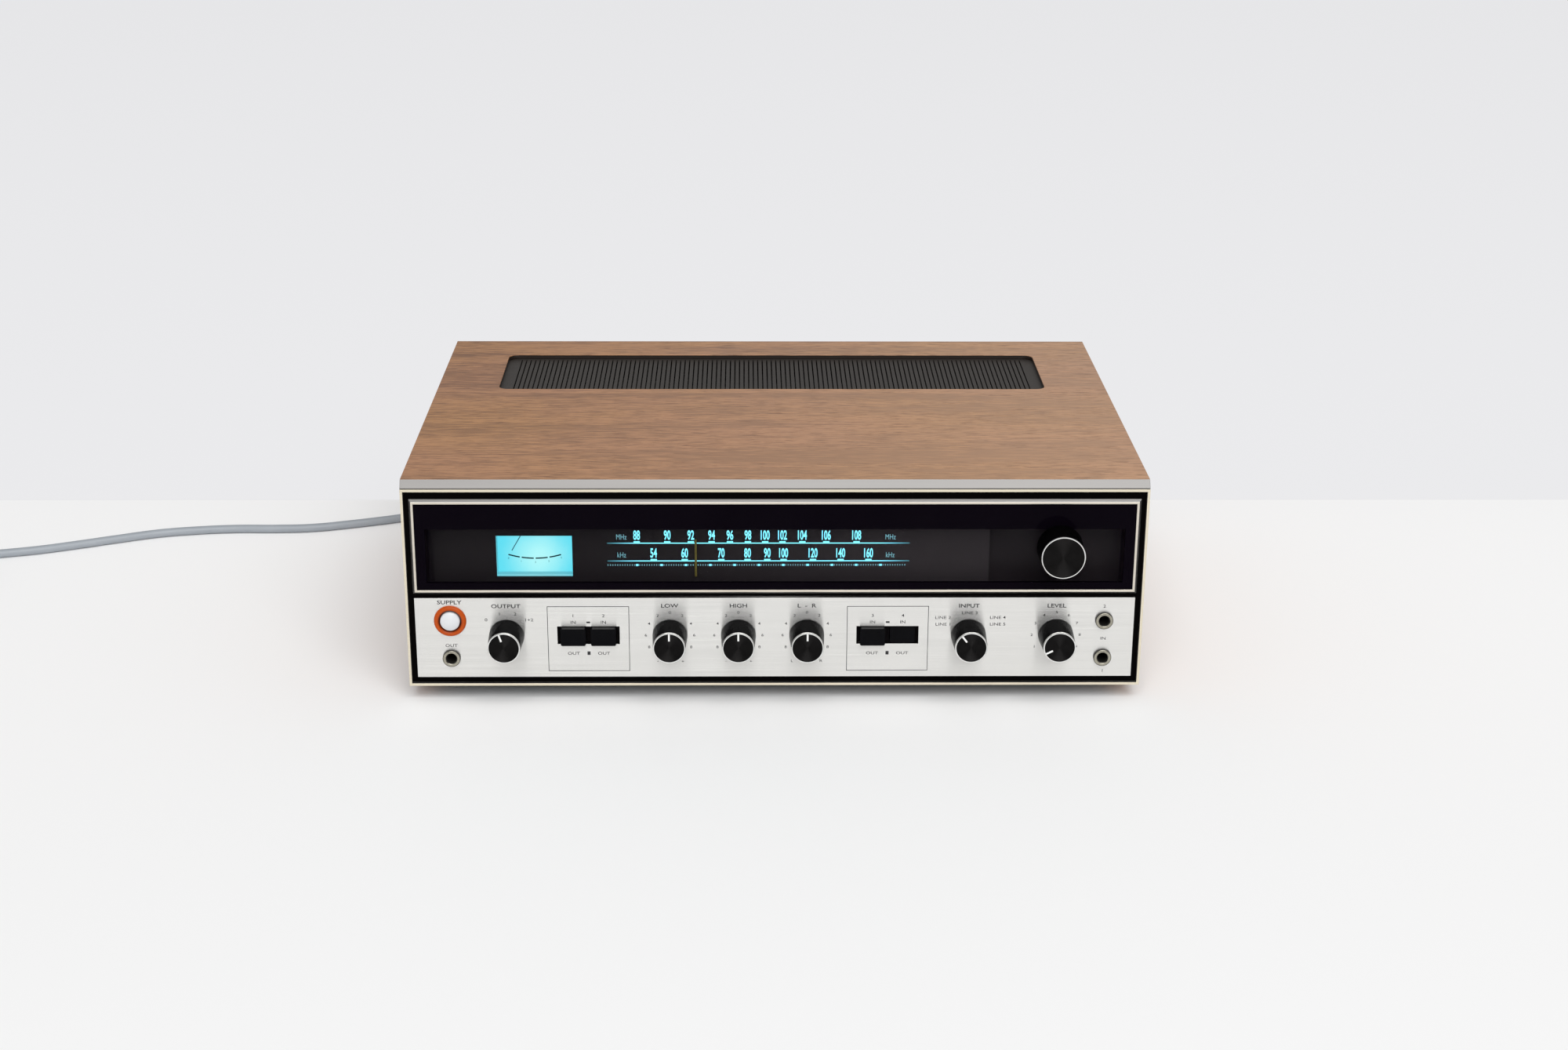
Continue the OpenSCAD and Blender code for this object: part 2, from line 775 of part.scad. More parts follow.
// A knob pushed on its control shaft, which runs in the bush behind the panel. The pointer is a
// groove in its face, at an angle from straight up.
module control_knob(x, angle) {
    groove_w = 1;
    groove_len = 4;
    groove_depth = 0.4;
    groove_end = knob_d / 2 - ring_w - 0.2;
    color("black") in_set() {
        difference() {
            knob_solid(x, knob_z, knob_y0, knob_y1, knob_d, skirt_d);
            translate([x, knob_y0 - 1, knob_z]) rotate([0, angle, 0])
                translate([-groove_w / 2, 0, groove_end - groove_len])
                    cube([groove_w, 1 + face_in + groove_depth, groove_len]);
        }
        rod(x, knob_z, shaft_r, knob_y0 + 5.5, pot_bore_end - 0.5);
    }
}

module speakers_knob() {
    control_knob(speakers_x, -18);
}

module bass_knob() {
    control_knob(tone_x - tone_pitch, 0);
}

module treble_knob() {
    control_knob(tone_x, 0);
}

module balance_knob() {
    control_knob(tone_x + tone_pitch, 0);
}

module selector_knob() {
    control_knob(selector_x, -37);
}

module volume_knob() {
    control_knob(volume_x, -117);
}

// Round potentiometers behind the chassis wall, each with its bush and three tags
module potentiometers() {
    color("silver") in_set() for (x = pot_xs) difference() {
        union() {
            rod(x, knob_z, pot_r, wall_back, wall_back + pot_len);
            rod(x, knob_z, bush_r, wall_y - bush_len, wall_back + 1);
            for (i = [-1 : 1])
                translate([x + i * 5 - 1, wall_back + 2, knob_z - pot_r - 4]) cube([2, 1, 6]);
        }
        rod(x, knob_z, shaft_r + run_fit, wall_y - bush_len - 1, pot_bore_end);
    }
}

// Rotary switches: front disc and two wafers on a pair of tie rods
module rotary_switches() {
    wafer_t = 1.6;
    wafers = 2;
    tie_x = rotary_r - 3;
    color("peru") in_set() for (x = rotary_xs) difference() {
        union() {
            rod(x, knob_z, rotary_r - 2, wall_back, wall_back + 3);
            rod(x, knob_z, bush_r, wall_y - bush_len, wall_back + 1);
            for (i = [1 : wafers])
                rod(x, knob_z, rotary_r, wall_back + i * 6, wall_back + i * 6 + wafer_t);
            for (side = [-1, 1])
                rod(x + side * tie_x, knob_z, 1.5, wall_back + 1, wall_back + rotary_len);
        }
        rod(x, knob_z, shaft_r + run_fit, wall_y - bush_len - 1, pot_bore_end);
    }
}

// Push button: hollow-faced cap on a square stem, out by default or pushed in
function push_x(i) = switch_xs[floor(i / 2)] + (i % 2 - 0.5) * cap_pitch;

module push_button(i, pushed) {
    cap_front = -face_proud - cap_proud;
    hollow_r = 22;
    hollow = 0.6;
    shift = pushed ? cap_travel : 0;
    color("black") in_set() translate([push_x(i), shift, knob_z]) {
        difference() {
            slab(cap_front, cap_back) rounded_rect(cap_w, cap_h, 1);
            translate([-cap_w, cap_front + hollow - hollow_r, 0])
                rotate([0, 90, 0]) cylinder(r = hollow_r, h = 2 * cap_w);
        }
        translate([-stem_w / 2, cap_back - 1, -stem_w / 2])
            cube([stem_w, wall_back + 8 - cap_back, stem_w]);
    }
}

module push_button_1() {
    push_button(0, false);
}

module push_button_2() {
    push_button(1, false);
}

module push_button_3() {
    push_button(2, false);
}

module push_button_4() {
    push_button(3, true);
}

module push_switches() {
    hole = stem_w + 2 * clear;
    body_h = 14;
    color("whitesmoke") in_set() difference() {
        for (x = switch_xs)
            translate([x - switch_w / 2, wall_back, knob_z - body_h / 2])
                cube([switch_w, switch_len, body_h]);
        for (i = [0 : 3])
            translate([push_x(i) - hole / 2, wall_back - 1, knob_z - hole / 2])
                cube([hole, switch_len - 1, hole]);
    }
}

// Chassis

// Steel pan with an upright front wall, side flanges, bushes, pulley axles and board posts
flange_h = 12;
post_r = 3;
post_inset = 6;

// Sizes of the larger pieces on the deck
core_w = 66;
core_d = 40;
core_h = 56;
bell_w = 52;
bell_d = 17;
bell_h = 44;
bell_r = 8;
plate_w = 86;
plate_t = 2;
can_r = 17.5;
can_h = 62;
can_base_r = can_r + 2;
can_base_h = 6;
sink_base = 5;
sink_h = 78;
fin_t = 2;
fin_len = 32;
tuner_d = 62;

// Their places: from the left flange to the right one, and from the front wall to the rear panel
deck_gap = 10;
can_gap = 3;
sink_room = 17;
rear_room = 23;
transformer_x = -inner_w / 2 + deck_gap + plate_w / 2;
transformer_y = 130;
can_x = transformer_x + plate_w / 2 + can_gap + can_base_r;
can_ys = [transformer_y - can_base_r + can_gap, transformer_y + can_base_r + 2 * can_gap];
sink_y = rear_y - rear_room - fin_len - sink_base;
tuner_y0 = gang_y0 - 1;
tuner_y1 = tuner_y0 + tuner_d;
amp_x0 = can_x + can_base_r + deck_gap;
amp_x1 = inner_w / 2 - deck_gap;
amp_y0 = tuner_y1 + deck_gap - 2;
amp_y1 = sink_y - sink_room;
amp_up = 12;
amp_z = deck_z + amp_up;
sink_x0 = amp_x0 + deck_gap;
sink_x1 = amp_x1 - deck_gap;
tuner_x0 = -60;
tuner_x1 = amp_x1 - 4 * deck_gap;

module board_posts(x0, y0, x1, y1, z) {
    for (x = [x0 + post_inset, x1 - post_inset], y = [y0 + post_inset, y1 - post_inset])
        translate([x, y, deck_z - eps]) cylinder(r = post_r, h = z - deck_z + eps);
}

module chassis() {
    half = inner_w / 2;
    stem_hole = stem_w + 2 * clear;
    bush_front = wall_y - 8;
    color("lightgray") in_set() {
        translate([-half, wall_y, floor_z]) cube([inner_w, rear_y - wall_y, sheet_t]);
        for (x = [-half, half - sheet_t])
            translate([x, wall_y, floor_z]) cube([sheet_t, rear_y - wall_y, flange_h]);
        slab(wall_y, wall_back) difference() {
            rect(-half, floor_z, half, wall_top);
            for (x = knob_xs) translate([x, knob_z]) circle(bush_r + run_fit);
            for (i = [0 : 3]) translate([push_x(i), knob_z]) square(stem_hole, center = true);
            meter_outline(meter_wall + fit);
            translate([left_column, power_z]) square(power_body_w + 1, center = true);
            translate([left_column, jack_z]) square(jack_body_w + 1, center = true);
            for (z = mic_zs) translate([right_column, z]) square(jack_body_w + 1, center = true);
            translate([tuning_x, tuning_z]) circle(shaft_r + run_fit);
        }
        difference() {
            rod(tuning_x, tuning_z, shaft_r + 2.5, bush_front, wall_back);
            rod(tuning_x, tuning_z, shaft_r + run_fit, bush_front - 1, wall_back + 1);
        }
        for (x = pulley_xs) rod(x, pulley_z, axle_r, wall_back - eps, drive_y + 4);
        board_posts(tuner_x0, tuner_y0, tuner_x1, tuner_y1, tuner_z);
        board_posts(amp_x0, amp_y0, amp_x1, amp_y1, amp_z);
    }
}

// Rear panel with the hinge ears of the antenna bar and the hole for the strain relief
screw_r = 1.5;
rear_top = top_z - board_t - 1;
bar_x = 50;
bar_drop = 16;
bar_z = rear_top - bar_drop;
bar_r = 5.5;
bar_len = 122;
ear_t = 2;
ear_gap = 12;
bar_y = rear_back + bar_r + 1.5;
relief_r = 5.5;

screw_xs = [-inner_w / 2 + 6, -inner_w / 6, inner_w / 6, inner_w / 2 - 6];
screw_places = [for (x = screw_xs, z = [deck_z + 8, rear_top - 5]) [x, z]];

module rear_panel() {
    half = inner_w / 2;
    color("lightgray") in_set() {
        slab(rear_y, rear_back) difference() {
            rect(-half, floor_z, half, rear_top);
            for (p = screw_places) translate(p) circle(screw_r + run_fit);
            translate([relief_x, relief_z]) circle(relief_r + run_fit);
        }
        for (z = [bar_z - ear_gap / 2 - ear_t, bar_z + ear_gap / 2])
            translate([bar_x - bar_r, rear_back - eps, z])
                cube([2 * bar_r, bar_y + bar_r - rear_back, ear_t]);
        translate([bar_x, bar_y, bar_z - ear_gap / 2 - eps]) cylinder(r = axle_r, h = ear_gap + 2 * eps);
    }
}

module panel_screws() {
    head_r = 3.1;
    head_t = 1.8;
    color("silver") in_set() for (p = screw_places)
        turned(p[0], p[1])
            polygon([
                [0, rear_y - 4], [screw_r, rear_y - 4], [screw_r, rear_back], [head_r, rear_back],
                [head_r, rear_back + head_t * 0.5], [head_r - 1, rear_back + head_t],
                [0, rear_back + head_t]
            ]);
}

// Turned feet with a countersunk hole for the screw that holds them
foot_inset_x = 46;
foot_inset_y = 42;

module feet() {
    r = foot_d / 2;
    color("black") in_set()
        for (side = [-1, 1], y = [foot_inset_y, rear_y - foot_inset_y])
            translate([side * (cabinet_w / 2 - foot_inset_x), y, 0]) rotate_extrude()
                polygon([
                    [2.2, 5], [6, 4], [6, 0], [r - 3, 0], [r - 2, 1], [r, floor_z], [2.2, floor_z]
                ]);
}

// Transformer: laminated core on a foot plate, with a bell over the windings at each end
module power_transformer() {
    color("dimgray") in_set() translate([transformer_x, transformer_y, deck_z]) {
        translate([-plate_w / 2, -core_d / 2, 0]) cube([plate_w, core_d, plate_t]);
        translate([-core_w / 2, -core_d / 2, 0]) cube([core_w, core_d, core_h]);
        for (side = [-1, 1])
            translate([0, side * (core_d + bell_d) / 2 - bell_d / 2, core_h / 2])
                slab(-eps, bell_d + eps) rounded_rect(bell_w, bell_h, bell_r);
    }
}

// Electrolytic cans, each in a clamp ring, with a rolled rim round the top
module filter_capacitors() {
    color("steelblue") in_set() for (y = can_ys)
        translate([can_x, y, deck_z]) rotate_extrude()
            polygon([
                [0, 0], [can_base_r, 0], [can_base_r, can_base_h], [can_r, can_base_h], [can_r, can_h - 3],
                [can_r - 1.5, can_h], [can_r - 4, can_h], [can_r - 5, can_h - 1.5], [0, can_h - 1.5]
            ]);
}

// Finned extrusion below the vent, with four power transistors on its face
module heat_sink() {
    fins = 23;
    pitch = (sink_x1 - sink_x0 - fin_t) / (fins - 1);
    color("darkslategray") in_set() translate([0, 0, deck_z]) linear_extrude(sink_h) {
        translate([sink_x0, sink_y]) square([sink_x1 - sink_x0, sink_base]);
        for (i = [0 : fins - 1])
            translate([sink_x0 + i * pitch, sink_y]) square([fin_t, sink_base + fin_len]);
    }
}

transistor_r = 10;
transistor_h = 8.5;
transistor_lobe = 19;
transistor_flange = 1.6;
transistor_up = 48;

module output_transistors() {
    count = 4;
    lobe = transistor_lobe;
    waist = transistor_r + 1;
    tip = transistor_r / 4;
    pitch = (sink_x1 - sink_x0) / count;
    color("silver") in_set() for (i = [0 : count - 1])
        translate([sink_x0 + (i + 0.5) * pitch, 0, deck_z + transistor_up]) {
            slab(sink_y - transistor_flange, sink_y) {
                circle(transistor_r + 0.5);
                polygon([
                    [-lobe, -tip], [0, -waist], [lobe, -tip], [lobe, tip], [0, waist], [-lobe, tip]
                ]);
            }
            rod(0, 0, transistor_r, sink_y - transistor_h, sink_y - transistor_flange / 2);
        }
}

// Circuit boards on the chassis posts, with their larger parts
small_can_r = 5;
small_can_h = 16;
block_w = 8;
block_d = 4;
block_h = 10;

module amplifier_board() {
    top = amp_z + board_sheet - eps;
    w = amp_x1 - amp_x0;
    d = amp_y1 - amp_y0;
    cans = 8;
    blocks = 6;
    color("peru") in_set() {
        translate([amp_x0, amp_y0, amp_z]) cube([w, d, board_sheet]);
        for (i = [0 : cans - 1], row = [0.26, 0.7])
            translate([amp_x0 + w * (i + 0.5) / cans, amp_y0 + row * d, top])
                cylinder(r = small_can_r, h = small_can_h);
        for (i = [0 : blocks - 1])
            translate([amp_x0 + w * (i + 0.5) / blocks - block_w / 2, amp_y0 + (d - block_d) / 2, top])
                cube([block_w, block_d, block_h]);
    }
}

// Screening cans stand in two rows on either side of the tuning capacitor
shield_w = 10;
shield_h = 15;

module tuner_board() {
    columns = [
        tuner_x0 + 2 * shield_w, tuner_x0 + 4 * shield_w,
        for (i = [4, 6, 8]) tuner_x1 - i * shield_w
    ];
    rows = [tuner_y0 + tuner_d / 4, tuner_y0 + tuner_d * 2 / 3];
    color("olivedrab") in_set() {
        translate([tuner_x0, tuner_y0, tuner_z])
            cube([tuner_x1 - tuner_x0, tuner_d, board_sheet]);
        for (x = columns, y = rows)
            translate([x, y, tuner_z + board_sheet - eps]) cube([shield_w, shield_w, shield_h]);
    }
}

// Rear sockets

phono_x = -110;
phono_up = 24;
phono_pitch = 20;
phono_r = 4.15;
phono_len = 10;
phono_flange_r = 6.5;
phono_hole_r = 1.6;

module phono_sockets() {
    columns = 5;
    rows = 2;
    flange_end = rear_back + 1.5;
    hole_end = rear_back + 3;
    end = rear_back + phono_len;
    color("silver") in_set() for (i = [0 : columns - 1], j = [0 : rows - 1])
        turned(phono_x + i * phono_pitch, deck_z + phono_up + j * (phono_pitch + 2))
            polygon([
                [0, rear_back], [phono_flange_r, rear_back], [phono_flange_r, flange_end],
                [phono_r, flange_end], [phono_r, end], [phono_hole_r, end], [phono_hole_r, hole_end],
                [0, hole_end]
            ]);
}

// Barrier strip: insulating block with ribs and a screw in each bay
bay_pitch = 11;
rib_t = 2;
rib_d = 5;
strip_h = 14;
strip_d = 4;
strip_screw_r = 3;
speaker_strip_x = 110;
speaker_strip_up = 35;
antenna_strip_x = -60;

module barrier_strip(x, z, bays) {
    w = bays * bay_pitch + rib_t;
    strip_y = rear_back + strip_d - eps;
    translate([x - w / 2, rear_back, z - strip_h / 2]) cube([w, strip_d, strip_h]);
    for (i = [0 : bays])
        translate([x - w / 2 + i * bay_pitch, strip_y, z - strip_h / 2]) cube([rib_t, rib_d, strip_h]);
    for (i = [0 : bays - 1])
        rod(x - w / 2 + rib_t / 2 + (i + 0.5) * bay_pitch, z, strip_screw_r, strip_y, strip_y + 3);
}

module speaker_terminals() {
    color("black") in_set() barrier_strip(speaker_strip_x, deck_z + speaker_strip_up, 8);
}

module antenna_terminals() {
    color("black") in_set() barrier_strip(antenna_strip_x, bar_z - 4, 4);
}

// Ferrite bar in a plastic tube on a hub that turns on the pin between the ears
module antenna_bar() {
    color("black") in_set() difference() {
        union() {
            translate([bar_x, bar_y, bar_z - ear_gap / 2 + clear])
                cylinder(r = bar_r, h = ear_gap - 2 * clear);
            translate([bar_x, bar_y, bar_z]) rotate([0, 90, 0]) cylinder(r = bar_r - 0.5, h = bar_len);
        }
        translate([bar_x, bar_y, bar_z - ear_gap]) cylinder(r = axle_r + run_fit, h = 2 * ear_gap);
    }
}

// Mains cord

// Tapered strain relief, clamped in the rear panel
relief_end = route[0][1] - front_y;

module strain_relief() {
    end_r = cord_d / 2 + 1;
    color("dimgray") in_set() turned(relief_x, relief_z)
        polygon([
            [0, rear_y - 4], [relief_r, rear_y - 4], [relief_r, rear_back], [relief_r + 2.5, rear_back],
            [relief_r + 2.5, rear_back + 3], [relief_r + 1, rear_back + 3],
            [end_r, relief_end], [0, relief_end]
        ]);
}

function unit(v) = v / norm(v);
function smooth(t) = let (s = min(1, max(0, t))) s * s * (3 - 2 * s);
function spline(a, b, c, d, t) =
    0.5 * (2 * b + (c - a) * t + (2 * a - 5 * b + 4 * c - d) * t * t + (3 * b - a - 3 * c + d) * t * t * t);
function smooth_route(p, steps) = [
    for (i = [0 : len(p) - 2], k = [0 : steps - 1])
        spline(p[max(0, i - 1)], p[i], p[i + 1], p[min(len(p) - 1, i + 2)], k / steps),
    p[len(p) - 1]
];
function heading(p, i) = unit(p[min(len(p) - 1, i + 1)] - p[max(0, i - 1)]);
function ring(c, along, r, n) =
    let (side = unit(cross([0, 0, 1], along)), up = cross(along, side))
    [for (k = [0 : n - 1]) c + r * (cos(360 * k / n) * side + sin(360 * k / n) * up)];
function path_length(p, i = 1) = i < len(p) ? norm(p[i] - p[i - 1]) + path_length(p, i + 1) : 0;

// Tube of n sides along the points p, in triangles; ends squared to the given headings
module tube(p, r, n, first, last) {
    final = len(p) - 1;
    points = [
        for (i = [0 : final])
            each ring(p[i], i == 0 ? first : i == final ? last : heading(p, i), r, n)
    ];
    sides = [
        for (i = [0 : final - 1], k = [0 : n - 1])
            let (a = i * n + k, b = i * n + (k + 1) % n)
            each [[a, a + n, b + n], [a, b + n, b]]
    ];
    start_cap = [for (k = [1 : n - 2]) [0, k, k + 1]];
    end_cap = [for (k = [1 : n - 2]) [final * n, final * n + k + 1, final * n + k]];
    polyhedron(points, concat(sides, start_cap, end_cap), convexity = 10);
}

module power_cord() {
    color("slategray") tube(smooth_route(route, 2), cord_d / 2, cord_sides, [0, 1, 0], [-1, 0, 0]);
}

// Coil: winds in along the floor, climbs a layer where it turns back, and winds out on top
coil_half = coil_turns / 2;
coil_out = coil_in + coil_pitch * coil_half;
coil_start = route[len(route) - 1];
coil_mid = [coil_start[0] - cord_d, coil_start[1] - coil_out];
coil_z = coil_start[2];
plug_z = plug_t / 2;
coil_exit = 90 + 360 * coil_turns;
coil_exit_heading = [-sin(coil_exit), cos(coil_exit), 0];

function coil_point(turn) =
    let (
        away = abs(turn - coil_half),
        r = coil_in + coil_pitch * away,
        angle = 90 + 360 * turn,
        climb = smooth(2 * (turn - coil_half) + 0.5)
    )
    [coil_mid[0] + r * cos(angle), coil_mid[1] + r * sin(angle), coil_z + coil_layer * climb];
coil_loops = [for (i = [0 : coil_turns * coil_rings]) coil_point(i / coil_rings)];
coil_end = coil_loops[len(coil_loops) - 1];
function tail_drop(s) = (plug_z - coil_end[2]) * smooth((s - 5) / (tail_len - 5 - cord_d));
function tail_point(s) = coil_end + s * coil_exit_heading + [0, 0, tail_drop(s)];
coil_tail = [for (i = [1 : 5]) tail_point(i * tail_len / 5)];
coil_path = concat([coil_start], coil_loops, coil_tail);
plug_at = coil_path[len(coil_path) - 1];
coil_gap = min([
    for (i = [0 : len(coil_loops) - 1], j = [i + coil_rings / 2 : 1 : len(coil_loops) - 1])
        norm(coil_loops[i] - coil_loops[j])
]) - cord_d;
cord_length = path_length(smooth_route(route, 2)) + path_length(coil_path);
echo(str("Least gap of the coil to itself: ", coil_gap));
echo(str("Length of the cord: ", cord_length));

module cord_coil() {
    color("slategray") tube(coil_path, cord_d / 2, coil_sides, [-1, 0, 0], coil_exit_heading);
}

// Strap round the turns of the coil
module cord_tie() {
    strap_w = 8;
    strap_t = 0.5;
    slack = 0.8;
    inner = coil_in - cord_d / 2 - slack;
    outer = coil_out + cord_d / 2 + slack;
    height = coil_z + coil_layer + cord_d / 2 + slack;
    color("black") translate([coil_mid[0], coil_mid[1], 0]) rotate([0, 0, -45])
        slab(-strap_w / 2, strap_w / 2) difference() {
            rect(inner - strap_t, 0, outer + strap_t, height + strap_t);
            rect(inner, strap_t, outer, height);
        }
}

// Flat two-pin plug: a waisted grip, a nose that fits the socket and two round pins
module mains_plug() {
    grip_w = 16;
    grip_len = 14;
    nose_w = 26;
    nose_at = 24;
    pin_len = 19;
    pin_d = 4;
    pin_pitch = 18.6;
    color("slategray") translate(plug_at) rotate([0, 0, coil_exit]) {
        translate([0, 0, -plug_t / 2]) linear_extrude(plug_t)
            polygon([
                [-grip_w / 2 + 3, 0], [grip_w / 2 - 3, 0], [grip_w / 2, 6], [grip_w / 2, grip_len],
                [nose_w / 2, nose_at], [nose_w / 2, plug_len], [-nose_w / 2, plug_len],
                [-nose_w / 2, nose_at], [-grip_w / 2, grip_len], [-grip_w / 2, 6]
            ]);
        for (side = [-1, 1])
            translate([side * pin_pitch / 2, plug_len - eps, 0])
                rotate([-90, 0, 0]) cylinder(d = pin_d, h = pin_len);
    }
}

cabinet_top();
cabinet_side_left();
cabinet_side_right();
vent_grille();
front_bezel();
front_plate();
control_panel();
dial_frame();
dial_glass();
dial_scale();
dial_pointer();
meter_case();
meter_face();
meter_needle();
dial_lamps();
tuning_knob();
tuning_shaft();
dial_cord();
pulley_left();
pulley_right();
tuning_drum();
capacitor_frame();
capacitor_rotor();
power_ring();
power_button();
power_switch();
headphone_jack();
microphone_jacks();
speakers_knob();
bass_knob();
treble_knob();
balance_knob();
selector_knob();
volume_knob();
potentiometers();
rotary_switches();
push_button_1();
push_button_2();
push_button_3();
push_button_4();
push_switches();
chassis();
rear_panel();
feet();
power_transformer();
filter_capacitors();
heat_sink();
output_transistors();
amplifier_board();
tuner_board();
phono_sockets();
speaker_terminals();
antenna_terminals();
antenna_bar();
panel_screws();
strain_relief();
power_cord();
cord_coil();
cord_tie();
mains_plug();
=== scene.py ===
import math

import bmesh
import bpy
from mathutils import Matrix, Vector


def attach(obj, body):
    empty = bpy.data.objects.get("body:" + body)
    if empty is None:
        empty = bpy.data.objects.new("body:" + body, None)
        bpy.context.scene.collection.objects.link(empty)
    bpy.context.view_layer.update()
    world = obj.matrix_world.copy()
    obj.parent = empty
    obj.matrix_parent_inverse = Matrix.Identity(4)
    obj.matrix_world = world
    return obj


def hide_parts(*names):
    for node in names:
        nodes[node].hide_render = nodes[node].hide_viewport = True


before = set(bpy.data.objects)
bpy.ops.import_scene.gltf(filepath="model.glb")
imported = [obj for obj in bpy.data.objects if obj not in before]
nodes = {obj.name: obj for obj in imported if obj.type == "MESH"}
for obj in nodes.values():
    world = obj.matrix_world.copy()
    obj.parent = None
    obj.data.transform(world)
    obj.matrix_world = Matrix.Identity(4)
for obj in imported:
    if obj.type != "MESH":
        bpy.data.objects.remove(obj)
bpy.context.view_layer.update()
scene = bpy.context.scene
mm = 0.001

# Camera
# It stands in front of the set, a little above it and close to its middle, with a long lens.
scene.view_settings.view_transform = "Standard"
lens = bpy.data.cameras.new("camera")
lens.lens = 54.168
lens.sensor_width = 36
camera = bpy.data.objects.new("camera", lens)
camera.location = (-0.01759, -1.3908, 0.57023)
camera.rotation_euler = [math.radians(angle) for angle in (69.808, -0.298, -0.905)]
scene.collection.objects.link(camera)
scene.camera = camera


# Mains cord
# A grey PVC lead that leaves the back of the set, drops to the floor and runs off to the left.
# Its spare length lies in a tied coil of two layers, and a moulded plug closes it.
cord_d = 5.6 * mm
cord_route = [
    (-165, 171, 40), (-165, 183, 40), (-168, 194, 38), (-176, 201, 33), (-187, 203, 26),
    (-199, 200, 18), (-214, 192, 10), (-230, 182, 5), (-246, 173, 2.8), (-260, 166, 2.8),
    (-275, 160, 2.8), (-292, 154, 2.8), (-316, 147, 2.8), (-342, 145, 2.8), (-368, 145, 2.8),
    (-394, 142, 2.8), (-420, 136, 2.8), (-446, 125, 2.8), (-470, 114, 2.8), (-494, 104, 2.8),
    (-518, 97, 2.8), (-540, 91, 3.1), (-552, 88.4, 3.4), (-560, 88, 3.4)
]
coil_middle = (-565.6, 44.8125)
coil_inner = 23.5
coil_pitch = 6.3
coil_turns = 6.25
coil_floor = 3.4
coil_layer = 6.2
coil_steps = 16
tail_length = 26
tail_level = 5
tail_steps = 5
plug_height = 6.85


def smooth(t):
    s = min(1, max(0, t))
    return s * s * (3 - 2 * s)


def coil_point(turn):
    radius = coil_inner + coil_pitch * abs(turn - coil_turns / 2)
    angle = math.radians(90 + 360 * turn)
    climb = smooth(2 * (turn - coil_turns / 2) + 0.5)
    return Vector((
        coil_middle[0] + radius * math.cos(angle),
        coil_middle[1] + radius * math.sin(angle),
        coil_floor + coil_layer * climb,
    ))


coil = [coil_point(i / coil_steps) for i in range(int(coil_turns * coil_steps) + 1)]


def tail_point(s):
    slope = tail_length - tail_level - cord_d / mm
    drop = (plug_height - coil[-1].z) * smooth((s - tail_level) / slope)
    return coil[-1] + Vector((0, -s, drop))


tail = [tail_point(tail_length * i / tail_steps) for i in range(1, tail_steps + 1)]
cord_points = [Vector(point) * mm for point in cord_route + coil + tail]

cord_line = bpy.data.curves.new("mains_lead", "CURVE")
cord_line.dimensions = "3D"
cord_line.bevel_depth = cord_d / 2
cord_line.bevel_resolution = 4
cord_line.resolution_u = 5
cord_line.use_fill_caps = True
spline = cord_line.splines.new("BEZIER")
spline.bezier_points.add(len(cord_points) - 1)
for knot, point in zip(spline.bezier_points, cord_points):
    knot.co = point
    knot.handle_left_type = "AUTO"
    knot.handle_right_type = "AUTO"
lead = bpy.data.objects.new("mains_lead", cord_line)
scene.collection.objects.link(lead)


def srgb(r, g, b):
    """Linear colour of an sRGB colour given from 0 to 255."""
    def linear(c):
        c = c / 255
        return c / 12.92 if c <= 0.04045 else ((c + 0.055) / 1.055) ** 2.4
    return (linear(r), linear(g), linear(b), 1.0)


class Socket:
    """Output of a shader node: arithmetic adds Math nodes, add() places any other node."""

    def __init__(self, tree, link=None):
        self.tree = tree
        self.link = link

    def add(self, kind, inputs, output=0, **settings):
        node = self.tree.nodes.new("ShaderNode" + kind)
        for key, value in settings.items():
            setattr(node, key, value)
        for key, value in inputs.items():
            if isinstance(value, Socket):
                self.tree.links.new(value.link, node.inputs[key])
            else:
                node.inputs[key].default_value = value
        return Socket(self.tree, node.outputs[output])

    def math(self, operation, *values):
        return self.add("Math", dict(enumerate(values)), operation=operation)

    def __add__(self, other):
        return self.math("ADD", self, other)

    def __radd__(self, other):
        return self.math("ADD", other, self)

    def __sub__(self, other):
        return self.math("SUBTRACT", self, other)

    def __rsub__(self, other):
        return self.math("SUBTRACT", other, self)

    def __mul__(self, other):
        return self.math("MULTIPLY", self, other)

    def __rmul__(self, other):
        return self.math("MULTIPLY", other, self)

    def __lt__(self, other):
        return self.math("LESS_THAN", self, other)

    def __gt__(self, other):
        return self.math("GREATER_THAN", self, other)

    def __abs__(self):
        return self.math("ABSOLUTE", self)

    def sine(self):
        return self.math("SINE", self)

    def length(self):
        return self.add("VectorMath", {0: self}, output="Value", operation="LENGTH")

    def axis(self, name):
        return self.add("SeparateXYZ", {0: self}, output=name)

    def ease(self, low, high):
        """0 below low, 1 above high, smooth between."""
        return self.add("MapRange", {0: self, 1: low, 2: high}, interpolation_type="SMOOTHSTEP")

    def noise(self, scale, detail=2.0, distortion=0.0):
        """Noise with so many cycles per metre along X, Y and Z."""
        stretched = self.add("Mapping", {"Vector": self, "Scale": scale})
        return self.add(
            "TexNoise", {"Vector": stretched, "Scale": 1.0, "Detail": detail, "Distortion": distortion}
        )

    def mix(self, low, high):
        return self.add("Mix", {0: self, 6: low, 7: high}, output=2, data_type="RGBA")

    def to(self, shader, name):
        self.tree.links.new(self.link, shader.inputs[name])

    def bump(self, shader, strength, distance):
        raised = self.add("Bump", {"Strength": strength, "Distance": distance, "Height": self})
        raised.to(shader, "Normal")


def finish(name, **constants):
    """New material. Returns it, its shader and the piece's own coordinates."""
    material = bpy.data.materials.new(name)
    material.use_nodes = True
    shader = material.node_tree.nodes["Principled BSDF"]
    for key, value in constants.items():
        shader.inputs[key.replace("_", " ")].default_value = value
    place = Socket(material.node_tree).add("TexCoord", {}, output="Object")
    return material, shader, place


